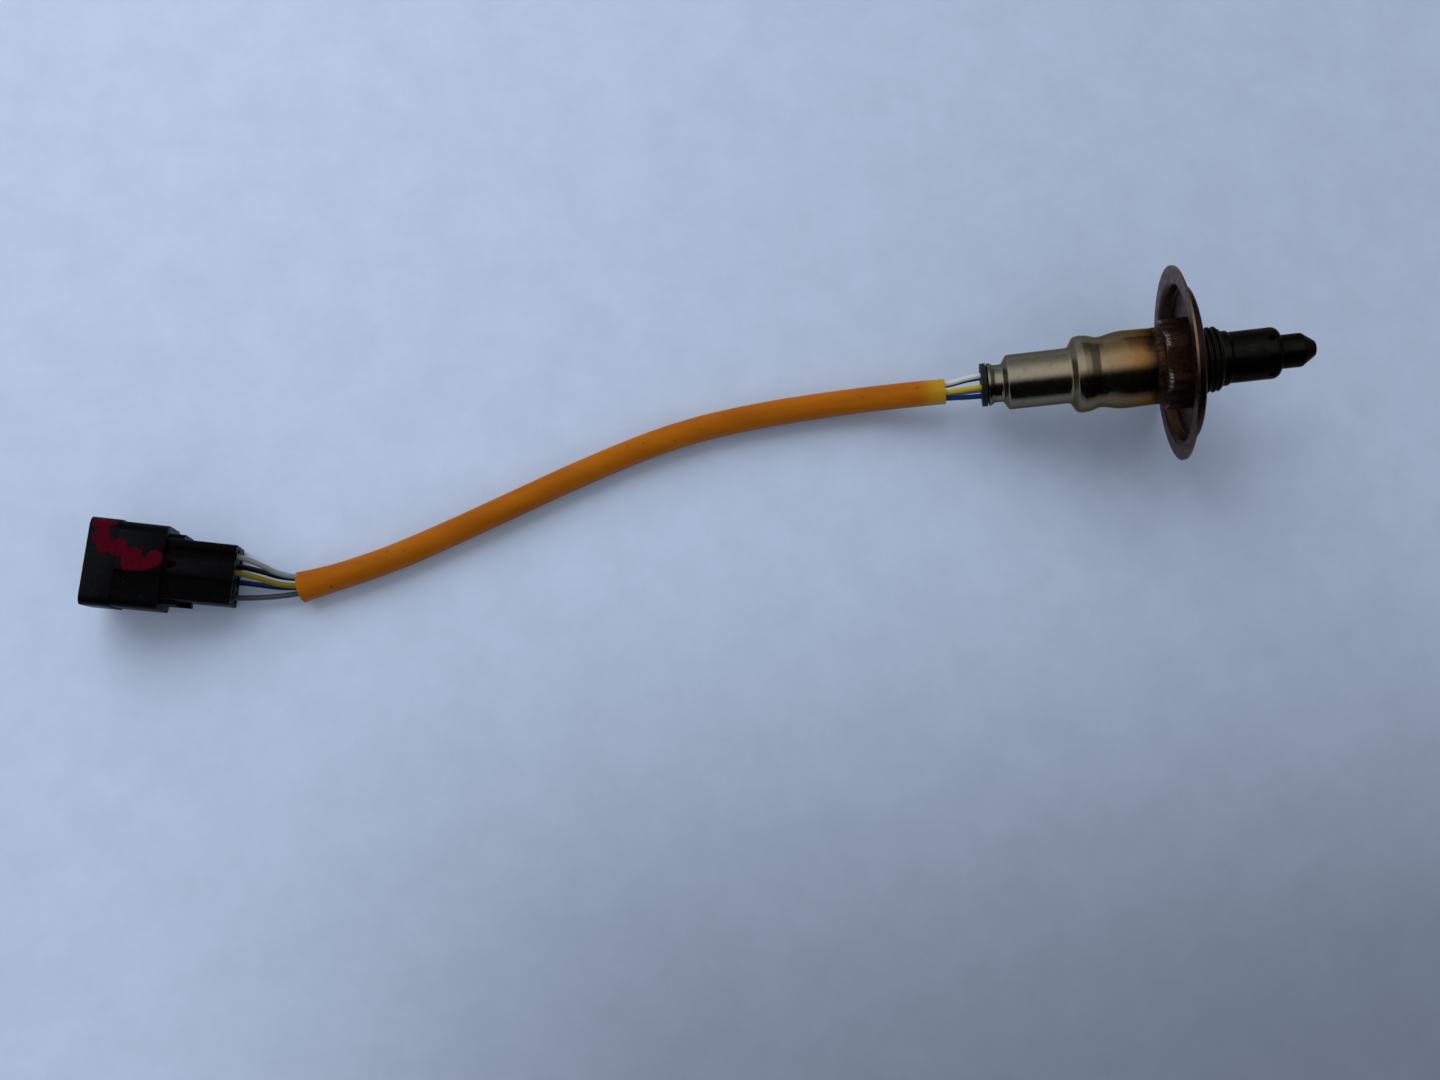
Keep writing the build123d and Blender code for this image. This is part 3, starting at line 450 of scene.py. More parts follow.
# ---- metal shell with its thread ----
DISH_FRONT = 3.7
HEX_FRONT = 3.1
HEX_REAR = -4.2
HEX_ACROSS_FLATS = 22.0
HEX_FACE_DIAMETER = 21.3
HEX_ROLL = 38.4                          # degrees round to one corner
HEX_CORNER_RADIUS = 12.5                 # the corners are worn this round
HEX_CHAMFER_ANGLE = 30.0
HEX_BORE_OVERLAP = 0.3                   # how far the hexagon's mesh reaches into the barrel's
HEX_EDGE_IN = 0.1                        # what softens the two edges of the chamfer
HEX_EDGE_OUT = 0.08
HEX_EDGE_RISE = 0.05
HEX_EDGE_FALL = 0.06
THREAD_DIAMETER = 17.9
THREAD_FRONT = 11.4
THREAD_PITCH = 1.5
THREAD_DEPTH = 0.9
THREAD_CREST = 0.2                       # shares of half a turn that are the crest and the flank
THREAD_FLANK = 0.62
THREAD_CHAMFER = 0.9
THREAD_STEPS = 110                       # rings along the thread
THREAD_START = HEX_FRONT + 0.02
RELIEF_FRONT = 4.3                       # end of the groove between the dish and the thread
RELIEF_RADIUS = 8.3
THREAD_RUN_IN = 1.0                      # length over which the thread reaches its full depth
SPIGOT_FRONT = 13.7
SHELL_SIDES = 144
SHELL_ANGLES = [math.tau * j / SHELL_SIDES for j in range(SHELL_SIDES)]

# (radius, station) outline of the shell from its front bore round the rear to the hexagon, and its front end
SHELL_REAR_LINE = (
    (5.2, SPIGOT_FRONT), (5.2, 7.0), (6.7, 5.5), (6.7, -9.2), (5.8, -9.2), (5.8, -10.2), (7.9, -10.2),
    (8.7, -9.4), (8.7, -9.0), (9.9, -9.0), (9.9, -6.3), (10.3, -6.3), (10.55, -6.05), (10.55, -4.2),
    (8.95, -4.2), (8.95, HEX_FRONT),
)
SHELL_FRONT_LINE = ((6.6, THREAD_FRONT), (6.05, THREAD_FRONT), (6.05, SPIGOT_FRONT))


def thread_radius(angle, station):
    """Radius of the threaded part at an angle and a station."""
    crest = THREAD_DIAMETER / 2
    turn = (station / THREAD_PITCH - angle / math.tau) % 1.0
    from_crest = abs(2 * turn - 1)                   # 0 at the crest's middle, 1 at the root's
    groove = min(max((from_crest - THREAD_CREST) / THREAD_FLANK, 0.0), 1.0)
    if DISH_FRONT < station < RELIEF_FRONT:
        return RELIEF_RADIUS
    fade = min(1.0, max(0.0, (station - RELIEF_FRONT) / THREAD_RUN_IN))
    chamfer_radius = crest - max(0.0, station - THREAD_FRONT + THREAD_CHAMFER)
    return min(crest - THREAD_DEPTH * groove * fade, chamfer_radius)


def make_shell(material):
    """Turned shell with a helical thread, and the hexagon round it."""
    rings = [[line_point] * SHELL_SIDES for line_point in SHELL_REAR_LINE]
    for i in range(THREAD_STEPS + 1):
        station = THREAD_START + (THREAD_FRONT - THREAD_START) * i / THREAD_STEPS
        rings.append([(thread_radius(angle, station), station) for angle in SHELL_ANGLES])
    rings += [[line_point] * SHELL_SIDES for line_point in SHELL_FRONT_LINE]
    vertices = [
        turned_point(radius, angle, station)
        for ring in rings
        for angle, (radius, station) in zip(SHELL_ANGLES, ring)
    ]
    faces = grid_faces(len(rings), SHELL_SIDES, close_rows=True)
    hex_vertices, hex_faces = hexagon_grid(len(vertices))
    vertices += hex_vertices
    faces += hex_faces
    make_piece("threaded_shell", vertices, faces, material, "shell_steel", "metal_shell")


def hexagon_grid(start):
    """Vertices and faces of the hexagon, with its chamfered rear corners."""
    flat = HEX_ACROSS_FLATS / 2
    face = HEX_FACE_DIAMETER / 2
    inside = THREAD_DIAMETER / 2 - HEX_BORE_OVERLAP
    slope = math.tan(math.radians(HEX_CHAMFER_ANGLE))
    columns = []
    for angle in SHELL_ANGLES:
        from_flat = (math.degrees(angle) - HEX_ROLL) % 60 - 30
        wall = min(flat / math.cos(math.radians(from_flat)), HEX_CORNER_RADIUS)
        chamfer_end = HEX_REAR + (wall - face) * slope
        outline = (
            (inside, HEX_REAR),
            (face - HEX_EDGE_IN, HEX_REAR),
            (face + HEX_EDGE_OUT, HEX_REAR + HEX_EDGE_RISE),
            (wall - HEX_EDGE_IN, chamfer_end - HEX_EDGE_FALL),
            (wall, chamfer_end + HEX_EDGE_IN),
            (wall, HEX_FRONT),
            (inside, HEX_FRONT),
        )
        columns.append([turned_point(radius, angle, station) for radius, station in outline])
    rings = list(zip(*columns))
    vertices = [v for ring in rings for v in ring]
    return vertices, grid_faces(len(rings), SHELL_SIDES, close_rows=True, start=start)


# ---- casing ----
# (diameter, station) corners of the casing's outside from its lip forward, and the bend at each inner one
CASING_LINE = (
    (11.4, -50.5), (12.0, -50.3), (11.9, -49.7), (10.6, -48.7), (10.6, -46.4), (15.4, -45.0),
    (15.4, -28.2), (20.7, -26.7), (21.5, -25.2), (21.0, -22.9), (19.6, -20.8), (19.6, -19.2),
    (21.6, -15.0), (21.1, -6.3),
)
CASING_BENDS = (0.15, 0.5, 1.0, 0.8, 0.9, 1.3, 0.9, 2.5, 3.0, 2.2, 4.0, 16.0)
CASING_WALL = 0.6
BEND_STEPS = 8
NECK_REAR = -48.4                        # stations that the crimps lie between
NECK_FRONT = -46.7
CRIMP_COUNT = 8
CRIMP_DEPTH = 0.35
CRIMP_RUN = 0.5                          # length over which a crimp reaches its depth
CRIMP_SHARPNESS = 3


def rounded_line(corners, bends):
    """The corners joined by runs, with an arc of its own radius at each inner corner."""
    line = [Vector(corners[0])]
    for before, corner, after, radius in zip(corners, corners[1:], corners[2:], bends):
        corner = Vector(corner)
        back = (Vector(before) - corner).normalized()
        ahead = (Vector(after) - corner).normalized()
        half = math.acos(max(-1.0, min(1.0, back.dot(ahead)))) / 2
        centre = corner + (back + ahead).normalized() * (radius / math.sin(half))
        start = (corner + back * (radius / math.tan(half)) - centre).normalized()
        end = (corner + ahead * (radius / math.tan(half)) - centre).normalized()
        line += [centre + start.slerp(end, i / BEND_STEPS) * radius for i in range(BEND_STEPS + 1)]
    return line + [Vector(corners[-1])]


def make_casing(material):
    """Stepped stainless cover with a rolled lip and a ring of crimps in its neck."""
    outside = rounded_line([(d / 2, z) for d, z in CASING_LINE], CASING_BENDS)
    inside = [Vector((r - CASING_WALL, z)) for r, z in outside]
    line = outside + inside[::-1]
    vertices = []
    for r, z in line:
        run = max(0.0, min(1.0, (z - NECK_REAR) / CRIMP_RUN, (NECK_FRONT - z) / CRIMP_RUN))
        for angle in SHELL_ANGLES:
            dent = CRIMP_DEPTH * run * (0.5 + 0.5 * math.cos(CRIMP_COUNT * angle)) ** CRIMP_SHARPNESS
            vertices.append(turned_point(r - dent, angle, z))
    faces = grid_faces(len(line), SHELL_SIDES, close_rows=True)
    make_piece("crimped_casing", vertices, faces, material, "casing_steel", "rear_casing")


# ---- plug housing and the paint on it ----
HOUSING_EDGE = 0.22 * MM                 # width of its softened edges
PAINT_THICKNESS = 0.10 * MM
PAINT_LIFT = 0.01 * MM                   # its edge stands this far off the housing
PAINT_GRID = 0.16
PAINT_ALONG = (17.2, 35.4)               # area that the dabs lie in, in the plug's frame
PAINT_ACROSS = (-11.0, 3.2)
PAINT_EDGE = 0.35                        # it thins over this length
PAINT_WAVES = ((0.35, 0.9, 3.0), (0.12, 3.0, 9.0))    # height, rate and seed of its outline's waves
PAINT_RELIEF = (0.5, 1.3, 1.0)           # share of the thickness, rate and seed of its brush marks
SLOPE_STEP = 0.05
LEAST_STEEPNESS = 0.2
ABOVE_HOUSING = 20.0
# (along the plug, across it, radius) of the dabs
PAINT_DABS = (
    (34.0, -9.4, 1.2), (32.4, -9.8, 1.1), (30.8, -10.0, 0.9), (29.7, -10.2, 0.6), (32.2, -7.8, 1.7),
    (31.6, -6.6, 1.6), (32.6, -5.9, 1.9), (31.5, -3.7, 1.8), (29.8, -4.1, 1.8), (27.9, -3.9, 2.3),
    (26.1, -3.1, 1.3), (23.7, -2.7, 1.7), (24.4, -0.5, 2.5), (22.0, -0.3, 2.0), (19.0, -2.2, 2.0),
    (20.3, -0.7, 1.8),
)


def wavy(x, y, height, rate, seed):
    """Noise of a height over the housing's top."""
    return height * noise.noise(Vector((x * rate, y * rate, seed)))


def paint_level(x, y):
    """Above 0 inside the paint, in millimetres of reach from its edge."""
    nearest = max(radius - math.hypot(x - dab_x, y - dab_y) for dab_x, dab_y, radius in PAINT_DABS)
    return nearest + sum(wavy(x, y, *wave) for wave in PAINT_WAVES)


def paint_edge_point(x, y, level):
    """A point just outside the paint moved onto its edge."""
    slope_x = (paint_level(x + SLOPE_STEP, y) - level) / SLOPE_STEP
    slope_y = (paint_level(x, y + SLOPE_STEP) - level) / SLOPE_STEP
    steepness = max(slope_x ** 2 + slope_y ** 2, LEAST_STEEPNESS)
    return x - level * slope_x / steepness, y - level * slope_y / steepness


def make_paint(material, carrier_mesh):
    """Dabs of paint that lie on the hood's top."""
    tree = BVHTree.FromPolygons(
        [vertex.co for vertex in carrier_mesh.vertices],
        [tuple(face.vertices) for face in carrier_mesh.polygons],
    )
    down = PLUG.to_3x3() @ Vector((0, 0, -1))
    columns, rows = (int((high - low) / PAINT_GRID) for low, high in (PAINT_ALONG, PAINT_ACROSS))
    places = {}
    vertices = []
    for i in range(columns):
        for j in range(rows):
            x = PAINT_ALONG[0] + i * PAINT_GRID
            y = PAINT_ACROSS[0] + j * PAINT_GRID
            level = paint_level(x, y)
            if level <= -0.5 * PAINT_GRID:
                continue
            if level < 0:
                x, y = paint_edge_point(x, y, level)
                level = 0.0
            hit = tree.ray_cast(plug_point(x, y, ABOVE_HOUSING), down)[0]
            if hit is None:
                continue
            thickness = PAINT_THICKNESS * min(1.0, level / PAINT_EDGE) ** 0.5
            thickness *= 1 + wavy(x, y, *PAINT_RELIEF)
            places[(i, j)] = len(vertices)
            vertices.append(hit - down * (thickness + PAINT_LIFT))
    faces = []
    for i, j in places:
        corners = [places.get(key) for key in ((i, j), (i + 1, j), (i + 1, j + 1), (i, j + 1))]
        if None not in corners:
            faces.append(corners)
    used = sorted({index for face in faces for index in face})
    new_index = {old: new for new, old in enumerate(used)}
    faces = [[new_index[index] for index in face] for face in faces]
    return make_piece("paint_dabs", [vertices[index] for index in used], faces, material, "plug_black")


# ---- materials ----
BLACK = (0.0, 0.0, 0.0)
HEAT_DRIFT = 9.0                         # how far the bands of heat tint stray
YELLOW_SLEEVE = (-60.0, -54.0)           # where along X the sleeve turns yellower
PLUG_SHADE_SPAN = (-220.0, -232.0)           # where along X painted shade darkens the wires by the plug
# Each wire's colour and the share of it that grime may cover
WIRE_COLORS = {
    "yellow": (srgb(178, 158, 16), 0.5),
    "white": (srgb(198, 202, 204), 0.6),
    "black": (srgb(22, 22, 22), 0.3),
    "grey": (srgb(112, 120, 132), 0.6),
    "blue": (srgb(10, 44, 112), 0.5),
}


def sensor_coords(shader):
    """Coordinates in millimetres in the sensor's frame."""
    return shader.coords(SENSOR_ORIGIN, SENSOR_TURN)


def plug_coords(shader):
    """Coordinates in millimetres in the plug's frame."""
    return shader.coords(PLUG_ORIGIN, PLUG_TURN)


def scaled(color, share, plus=0.0):
    """The colour times a share, plus a constant."""
    return tuple(channel * share + plus for channel in color)


def casing_material():
    """Stainless cover: bronze heat tint by the collar, fading to warm grey at the wire end."""
    s = Shader("casing_steel", srgb(122, 115, 98), 0.26, metal=1.0, Specular_Tint=(0.60, 0.51, 0.42, 1.0))
    place = sensor_coords(s)
    axes = s.split(place)
    drift = s.noise(s.stretch(place, (0.10, 0.10, 0.05)), 1.0, 4.0)
    station = s.math("ADD", axes[2], s.math("MULTIPLY", s.math("SUBTRACT", drift, 0.5), HEAT_DRIFT))
    along = s.remap(station, -52.0, -6.6, kind="LINEAR")
    color = s.ramp(along, (
        (0.0, srgb(121, 116, 102)),
        (0.42, srgb(126, 118, 100)),
        (0.62, srgb(125, 115, 92)),
        (0.76, srgb(120, 104, 76)),
        (0.88, srgb(124, 94, 60)),
        (0.95, srgb(110, 76, 44)),
        (1.0, srgb(50, 32, 20)),
    ))
    smears = s.noise(s.stretch(place, (0.5, 0.5, 0.9)), 1.0, 6.0, 0.65)
    color = s.mix(s.remap(smears, 0.5, 0.75, 0.0, 0.3), color, srgb(72, 62, 48))
    specks = s.noise(place, 2.6, 2.0)
    color = s.mix(s.remap(specks, 0.69, 0.75, 0.0, 0.6), color, srgb(45, 36, 26))
    s.set("Base Color", color)
    rings = s.noise(s.stretch(place, (0.15, 0.15, 9.0)), 1.0, 3.0)
    marks = s.math("ADD", smears, s.math("MULTIPLY", rings, 0.3))
    s.set("Roughness", s.remap(marks, 0.45, 0.95, 0.14, 0.27))
    grit = s.noise(place, 1.5, 4.0, 0.6)
    turned = s.bump(grit, 0.008, normal=s.bump(rings, 0.004))
    s.set("Normal", s.bump(smears, 0.006, normal=turned))
    return s.material


def shell_material():
    """Heat-browned hexagon and collar with pale worn scratches; near black on the thread."""
    s = Shader("shell_steel", srgb(62, 38, 26), 0.42, metal=0.75, Specular_Tint=(0.6, 0.5, 0.42, 1.0))
    place = sensor_coords(s)
    axes = s.split(place)
    grain = s.noise(place, 1.1, 6.0, 0.6)
    color = s.ramp(grain, ((0.3, srgb(24, 12, 7)), (0.5, srgb(40, 21, 13)), (0.7, srgb(58, 35, 23))))
    front = s.remap(axes[2], 2.6, 3.6)
    color = s.mix(front, color, srgb(30, 28, 25))
    collar = s.remap(axes[2], -4.0, -4.5)
    color = s.mix(s.math("MULTIPLY", collar, s.remap(grain, 0.42, 0.62)), color, srgb(70, 50, 36))
    scratches = s.noise(s.stretch(place, (1.6, 1.6, 0.55)), 1.3, 5.0, 0.7, 1.5)
    edge = s.math("MULTIPLY", s.remap(s.radius(axes), 11.0, 12.1), s.remap(axes[2], -2.4, -3.4))
    worn = s.math("MULTIPLY", edge, s.remap(scratches, 0.47, 0.6))
    color = s.mix(worn, color, srgb(168, 160, 150))
    s.set("Base Color", color)
    s.set("Roughness", s.remap(grain, 0.3, 0.7, 0.34, 0.55))
    s.set("Normal", s.bump(grain, 0.05))
    return s.material


def flange_material():
    """Pressed stainless dish with purple-brown heat tint, bronze streaks and a painted highlight round its
    outer edge.
    """
    s = Shader("flange_steel", srgb(100, 84, 80), 0.34, metal=1.0, Specular_Tint=(0.80, 0.70, 0.66, 1.0))
    place = sensor_coords(s)
    axes = s.split(place)
    radius = s.radius(axes)
    drift = s.noise(s.stretch(place, (0.12, 0.12, 0.3)), 1.0, 4.0)
    ring = s.math("ADD", radius, s.math("MULTIPLY", s.math("SUBTRACT", drift, 0.5), HEAT_DRIFT))
    color = s.ramp(s.remap(ring, 10.0, 28.0, kind="LINEAR"), (
        (0.0, srgb(30, 17, 11)),
        (0.35, srgb(47, 28, 20)),
        (0.6, srgb(54, 37, 31)),
        (0.8, srgb(70, 58, 55)),
        (1.0, srgb(86, 73, 65)),
    ))
    near = s.remap(axes[1], 2.0, -16.0)
    bronze = s.math("MULTIPLY", near, s.remap(radius, 24.5, 19.0))
    color = s.mix(s.math("MULTIPLY", bronze, 0.55), color, srgb(86, 54, 30))
    # painted highlight: a lighter band round the dish's outer edge
    rim_highlight = s.remap(radius, 26.25, 26.5)
    color = s.mix(s.math("MULTIPLY", rim_highlight, 0.8), color, srgb(122, 100, 74))
    s.set("Base Color", color)
    smudge = s.noise(place, 0.5, 5.0, 0.6)
    s.set("Roughness", s.remap(smudge, 0.35, 0.7, 0.26, 0.44))
    s.set("Normal", s.bump(smudge, 0.03))
    return s.material


def tube_material():
    """Gas tubes of steel burnt to a near-black satin."""
    s = Shader("tube_black", srgb(25, 25, 23), 0.36, metal=1.0, Specular_Tint=(0.6, 0.55, 0.5, 1.0))
    place = sensor_coords(s)
    soot = s.noise(s.stretch(place, (0.35, 0.35, 0.2)), 1.0, 5.0, 0.6)
    s.set("Base Color", s.ramp(soot, ((0.35, srgb(22, 22, 20)), (0.65, srgb(29, 28, 25)))))
    s.set("Roughness", s.remap(soot, 0.35, 0.65, 0.42, 0.3))
    s.set("Normal", s.bump(s.noise(place, 3.0, 4.0), 0.02))
    return s.material


def rubber_material(name, color):
    """Matt moulded rubber with a little dust."""
    s = Shader(name, color, 0.6, Specular_IOR_Level=0.2)
    place = s.coords()
    dust = s.noise(place, 0.8, 5.0, 0.6)
    s.set("Base Color", s.mix(s.remap(dust, 0.5, 0.75, 0.0, 0.35), color, scaled(color, 0.8, 0.012)))
    s.set("Roughness", s.remap(dust, 0.3, 0.7, 0.5, 0.7))
    s.set("Normal", s.bump(s.noise(place, 6.0, 2.0), 0.02))
    return s.material


def wire_material(colour, color, dirt):
    """Extruded wire insulation with a little grime, and painted shade that darkens it by the plug."""
    s = Shader("wire_" + colour, color, 0.35, Specular_IOR_Level=0.25)
    place = s.coords()
    axes = s.split(place)
    grime = s.noise(s.stretch(place, (0.25, 1.0, 1.0)), 1.0, 4.0, 0.6)
    dull = s.mix(s.remap(grime, 0.45, 0.7, 0.0, dirt), color, scaled(color, 0.55))
    # painted shade: the wires turn darker towards the plug, where its shade falls
    plug_shade = s.remap(axes[0], *PLUG_SHADE_SPAN, 0.0, 0.78)
    s.set("Base Color", s.mix(plug_shade, dull, scaled(color, 0.15)))
    s.set("Roughness", s.remap(grime, 0.3, 0.7, 0.3, 0.5))
    s.set("Normal", s.bump(grime, 0.03))
    return s.material


def sleeve_material():
    """Satin orange silicone, yellower towards the sensor, with brown specks and rubbed marks."""
    s = Shader("sleeve_orange", srgb(160, 89, 4), 0.4, Specular_IOR_Level=0.1)
    place = s.coords()
    axes = s.split(place)
    patches = s.noise(s.stretch(place, (0.03, 0.12, 0.12)), 1.0, 4.0, 0.6)
    color = s.ramp(patches, ((0.35, srgb(151, 81, 2)), (0.65, srgb(168, 95, 4))))
    color = s.mix(s.remap(axes[0], *YELLOW_SLEEVE), color, srgb(172, 128, 22))
    specks = s.noise(s.stretch(place, (0.55, 1.0, 1.0)), 0.62, 3.0, 0.6)
    color = s.mix(s.remap(specks, 0.66, 0.74, 0.0, 0.75), color, srgb(98, 50, 14))
    fine = s.noise(place, 2.4, 2.0)
    color = s.mix(s.remap(fine, 0.67, 0.73, 0.0, 0.5), color, srgb(120, 66, 22))
    s.set("Base Color", color)
    creases = s.noise(s.stretch(place, (0.08, 1.1, 1.1)), 1.0, 4.0, 0.6)
    s.set("Roughness", s.remap(creases, 0.35, 0.65, 0.28, 0.45))
    s.set("Normal", s.bump(s.noise(place, 1.6, 6.0), 0.03, normal=s.bump(creases, 0.10)))
    return s.material


def plug_material():
    """Black moulded plastic with a fine spark texture, faint scuffs and dust."""
    s = Shader("plug_black", srgb(5, 5, 6), 0.4, Specular_IOR_Level=0.07)
    place = plug_coords(s)
    scuffs = s.noise(s.stretch(place, (0.25, 0.9, 0.9)), 1.0, 6.0, 0.65)
    color = s.mix(s.remap(scuffs, 0.55, 0.75, 0.0, 0.5), srgb(3, 3, 4), srgb(11, 11, 12))
    dust = s.noise(place, 1.9, 2.0)
    color = s.mix(s.remap(dust, 0.72, 0.76, 0.0, 0.4), color, srgb(96, 96, 96))
    s.set("Base Color", color)
    s.set("Roughness", s.remap(scuffs, 0.35, 0.7, 0.36, 0.55))
    s.set("Normal", s.bump(s.noise(place, 7.0, 2.0), 0.012))
    return s.material


def paint_material():
    """Glossy dark crimson paint, brushed on."""
    s = Shader("paint_crimson", srgb(68, 1, 25), 0.3, Specular_IOR_Level=0.03)
    place = plug_coords(s)
    strokes = s.noise(s.stretch(place, (0.9, 0.5, 0.9)), 1.0, 4.0, 0.6, 1.0)
    s.set("Base Color", s.ramp(strokes, ((0.35, srgb(62, 0, 16)), (0.65, srgb(74, 0, 22)))))
    s.set("Roughness", s.remap(strokes, 0.3, 0.7, 0.18, 0.4))
    s.set("Normal", s.bump(strokes, 0.08))
    return s.material


def plain_material(name, color, rough, metal=0.0):
    """A hidden piece's finish: even, with a fine grain."""
    s = Shader(name, color, rough, metal)
    grain = s.noise(s.coords(), 1.5, 4.0)
    s.set("Base Color", s.mix(s.remap(grain, 0.4, 0.7, 0.0, 0.4), color, scaled(color, 0.7)))
    s.set("Roughness", s.remap(grain, 0.3, 0.7, rough - 0.06, rough + 0.06))
    s.set("Normal", s.bump(grain, 0.01))
    return s.material


def give(material, *nodes):
    """Give CAD nodes their material in place of the plain one."""
    for node in nodes:
        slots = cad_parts[node].data.materials
        if not slots:
            slots.append(material)
        for index in range(len(slots)):
            slots[index] = material


# ---- stage ----
# Reflected strength of the surroundings: (from, to, strength at from, strength at to) along one axis
WORLD_NEAR = (-0.42, 0.1, 0.01, 1.3)     # from the viewer's side to overhead
WORLD_FAR = (0.45, 1.0, 1.0, 0.35)       # share of it from overhead to the window side's horizon
WORLD_RIGHT = (0.0, 0.22, 1.0, 0.25)     # share of it towards the sensor's tip
WORLD_DIFFUSE = 0.38                     # strength as a light on the part
WORLD_SEEN = 0.7                         # strength as the camera sees it
WORLD_COLOR = (0.90, 0.94, 1.0, 1.0)
# Lamps: place and size in metres, power in watts, colour
LAMP_TARGET = (-0.12, -0.01, 0.0)
LAMPS = {
    "window": ((-0.45, 0.85, 0.85), (1.5, 1.1), 11.0, (0.93, 0.96, 1.0)),
    "fill": ((0.35, -0.9, 0.9), (1.2, 0.8), 0.6, (1.0, 0.97, 0.93)),
}
FLOOR_REACH = 3.0                        # metres
FLOOR_RIGHT = (-290.0, 90.0)             # where along X painted shade darkens it to the right
FLOOR_RIGHT_SHADE = 0.20
FLOOR_NEAR = (-25.0, -200.0)             # where along Y painted shade darkens it towards the viewer
FLOOR_NEAR_FROM = (-310.0, -130.0)       # and where along X that sets in
FLOOR_NEAR_SHADE = 0.45


def make_floor():
    """Pale paper under the part, with painted shade darkening it to the right and towards the viewer."""
    mesh = bpy.data.meshes.new("floor")
    corners = [(x * FLOOR_REACH, y * FLOOR_REACH, 0) for x, y in ((-1, -1), (1, -1), (1, 1), (-1, 1))]
    mesh.from_pydata(corners, [], [(0, 1, 2, 3)])
    floor = bpy.data.objects.new("floor", mesh)
    floor.location.z = -FLOOR_GAP
    bpy.context.scene.collection.objects.link(floor)
    s = Shader("floor", srgb(190, 200, 220), 0.85)
    axes = s.split(s.coords())
    # painted shade: the paper darkens to the right and towards the viewer
    right = s.math("MULTIPLY", s.remap(axes[0], *FLOOR_RIGHT), FLOOR_RIGHT_SHADE)
    near = s.math("MULTIPLY", s.remap(axes[1], *FLOOR_NEAR), s.remap(axes[0], *FLOOR_NEAR_FROM))
    shade = s.math("ADD", right, s.math("MULTIPLY", near, FLOOR_NEAR_SHADE), clamp=True)
    grain = s.remap(s.noise(s.coords(), 0.06, 5.0, 0.7), 0.35, 0.65, kind="LINEAR")
    paper = s.mix(grain, srgb(199, 215, 240), srgb(206, 222, 248))
    s.set("Base Color", s.mix(shade, paper, BLACK))
    mesh.materials.append(s.material)


def make_lamp(name, place, size, power, color):
    """Soft rectangular lamp that faces the part and isn't mirrored in it."""
    data = bpy.data.lights.new(name, "AREA")
    data.shape = "RECTANGLE"
    data.size, data.size_y = size
    data.energy = power
    data.color = color
    lamp = bpy.data.objects.new(name, data)
    bpy.context.scene.collection.objects.link(lamp)
    lamp.location = place
    aim = Vector(LAMP_TARGET) - Vector(place)
    lamp.rotation_euler = aim.to_track_quat("-Z", "Y").to_euler()
    lamp.visible_glossy = False


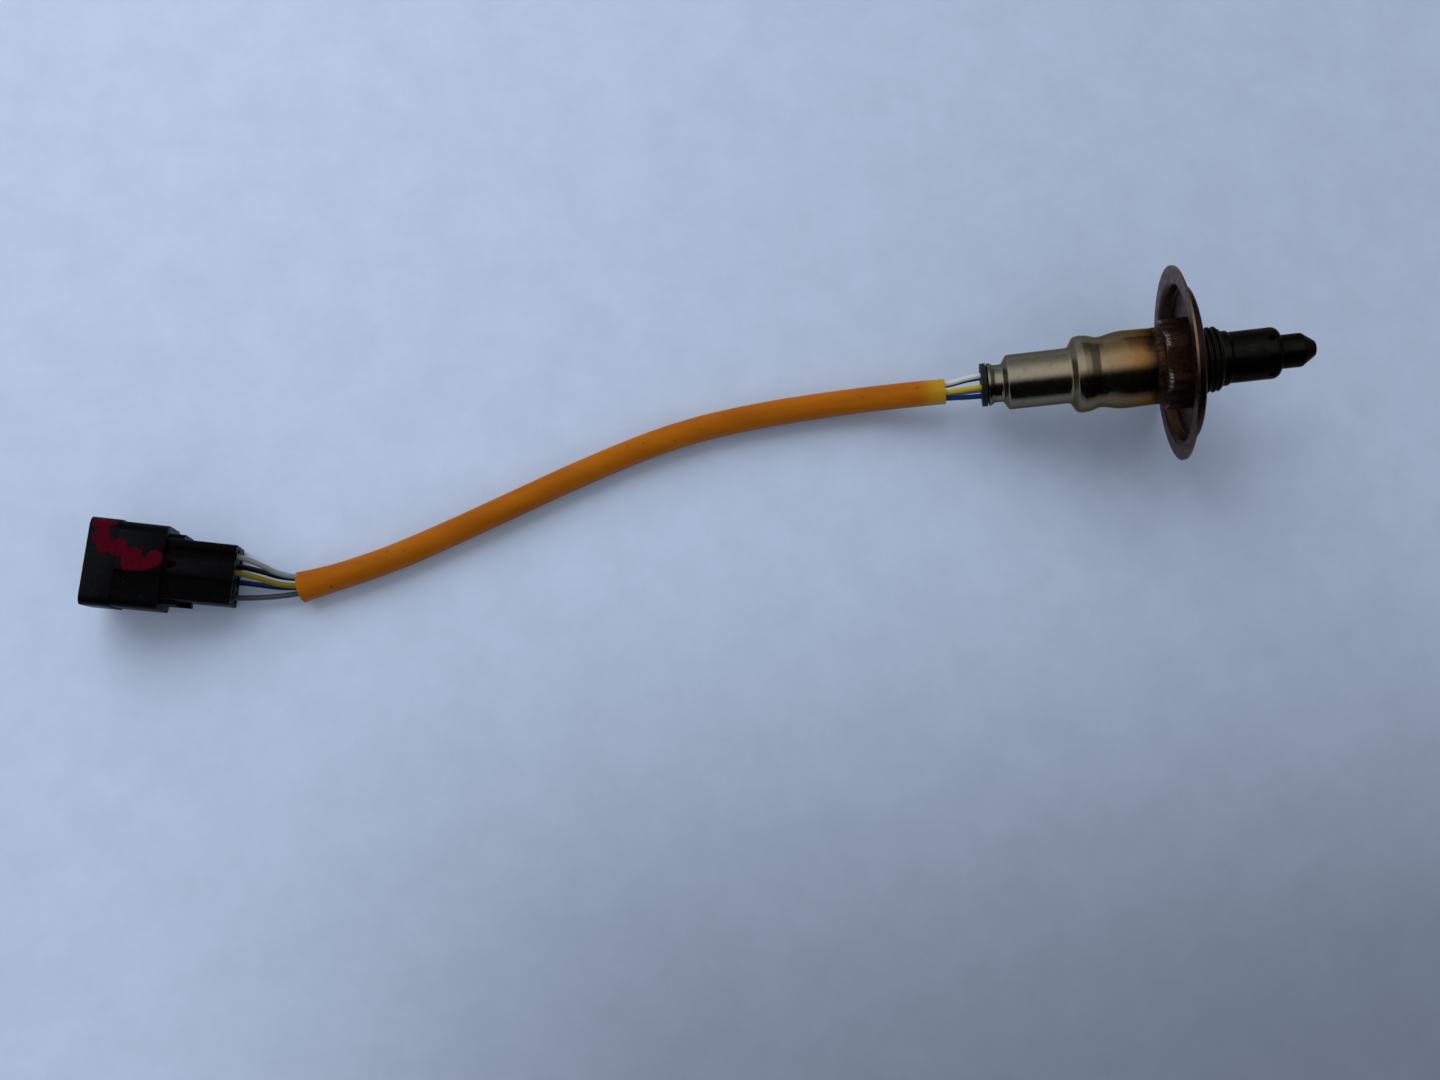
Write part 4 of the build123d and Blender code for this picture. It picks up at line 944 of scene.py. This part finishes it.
def make_world():
    """Soft surroundings: bright overhead and towards the window, dark towards the viewer."""
    world = bpy.data.worlds.new("studio")
    bpy.context.scene.world = world
    world.use_nodes = True
    tree = world.node_tree
    background = tree.nodes["Background"]
    background.inputs["Color"].default_value = WORLD_COLOR

    def spread(value, limits):
        """The value mapped smoothly from its (from, to) to its strengths."""
        node = tree.nodes.new("ShaderNodeMapRange")
        node.interpolation_type = "SMOOTHSTEP"
        for socket, limit in zip(list(node.inputs)[1:5], limits):
            socket.default_value = limit
        tree.links.new(value, node.inputs[0])
        return node.outputs[0]

    def blend(factor, a, b):
        """Strength a where the factor is 0, b where it is 1."""
        node = tree.nodes.new("ShaderNodeMix")
        tree.links.new(factor, node.inputs[0])
        for socket, value in ((node.inputs[2], a), (node.inputs[3], b)):
            if isinstance(value, float):
                socket.default_value = value
            else:
                tree.links.new(value, socket)
        return node.outputs[0]

    place = tree.nodes.new("ShaderNodeTexCoord")
    axes = tree.nodes.new("ShaderNodeSeparateXYZ")
    tree.links.new(place.outputs["Generated"], axes.inputs[0])
    glow = spread(axes.outputs[1], WORLD_NEAR)
    for axis, limits in ((1, WORLD_FAR), (0, WORLD_RIGHT)):
        product = tree.nodes.new("ShaderNodeMath")
        product.operation = "MULTIPLY"
        tree.links.new(glow, product.inputs[0])
        tree.links.new(spread(axes.outputs[axis], limits), product.inputs[1])
        glow = product.outputs[0]
    paths = tree.nodes.new("ShaderNodeLightPath")
    lit = blend(paths.outputs["Is Diffuse Ray"], glow, WORLD_DIFFUSE)
    tree.links.new(blend(paths.outputs["Is Camera Ray"], lit, WORLD_SEEN), background.inputs["Strength"])


# ---- build ----

def make_plug_and_lead():
    """Plug with its paint and its inner pieces, on the five wires in their sleeve."""
    housing_mesh = softened_copy("connector_housing", HOUSING_EDGE)
    housing = finish_piece("plug_housing", housing_mesh, plug_material(), "plug_black", "connector_housing")
    paint = make_paint(paint_material(), housing_mesh)
    give(plain_material("tin_plate", srgb(190, 188, 180), 0.3, 1.0), "terminal_pins")
    give(plain_material("retainer_grey", srgb(110, 110, 108), 0.5), "pin_retainer")
    give(plain_material("seal_rubber", srgb(96, 50, 30), 0.6), "wire_seals", "cavity_plug")
    for colour in WIRES:
        make_wire(colour, wire_material(colour, *WIRE_COLORS[colour]))
    make_sleeve(sleeve_material())


def make_sensor():
    """Sensor proper: its shell and casing, and the looks of its other pieces."""
    make_shell(shell_material())
    give(flange_material(), "flange_plate")
    give(tube_material(), "outer_protector", "inner_protector")
    make_casing(casing_material())
    give(rubber_material("rubber_black", srgb(20, 23, 19)), "wire_grommet")
    ceramic = plain_material("ceramic_white", srgb(226, 224, 214), 0.55)
    give(ceramic, "element_holder", "insulator_sleeve", "contact_holder")
    give(plain_material("zirconia", srgb(214, 214, 208), 0.45), "sensing_element")
    give(plain_material("talc", srgb(208, 206, 196), 0.8), "talc_packing")
    spring = plain_material("contact_steel", srgb(176, 176, 172), 0.32, 1.0)
    give(spring, "packing_ring", "holder_spring", *["contact_" + colour for colour in WIRES])


def main():
    """Build the visible part and its stage."""
    bpy.context.scene.view_settings.view_transform = "Standard"
    make_camera()
    make_plug_and_lead()
    make_sensor()
    make_floor()
    make_world()
    for name, settings in LAMPS.items():
        make_lamp(name, *settings)


main()
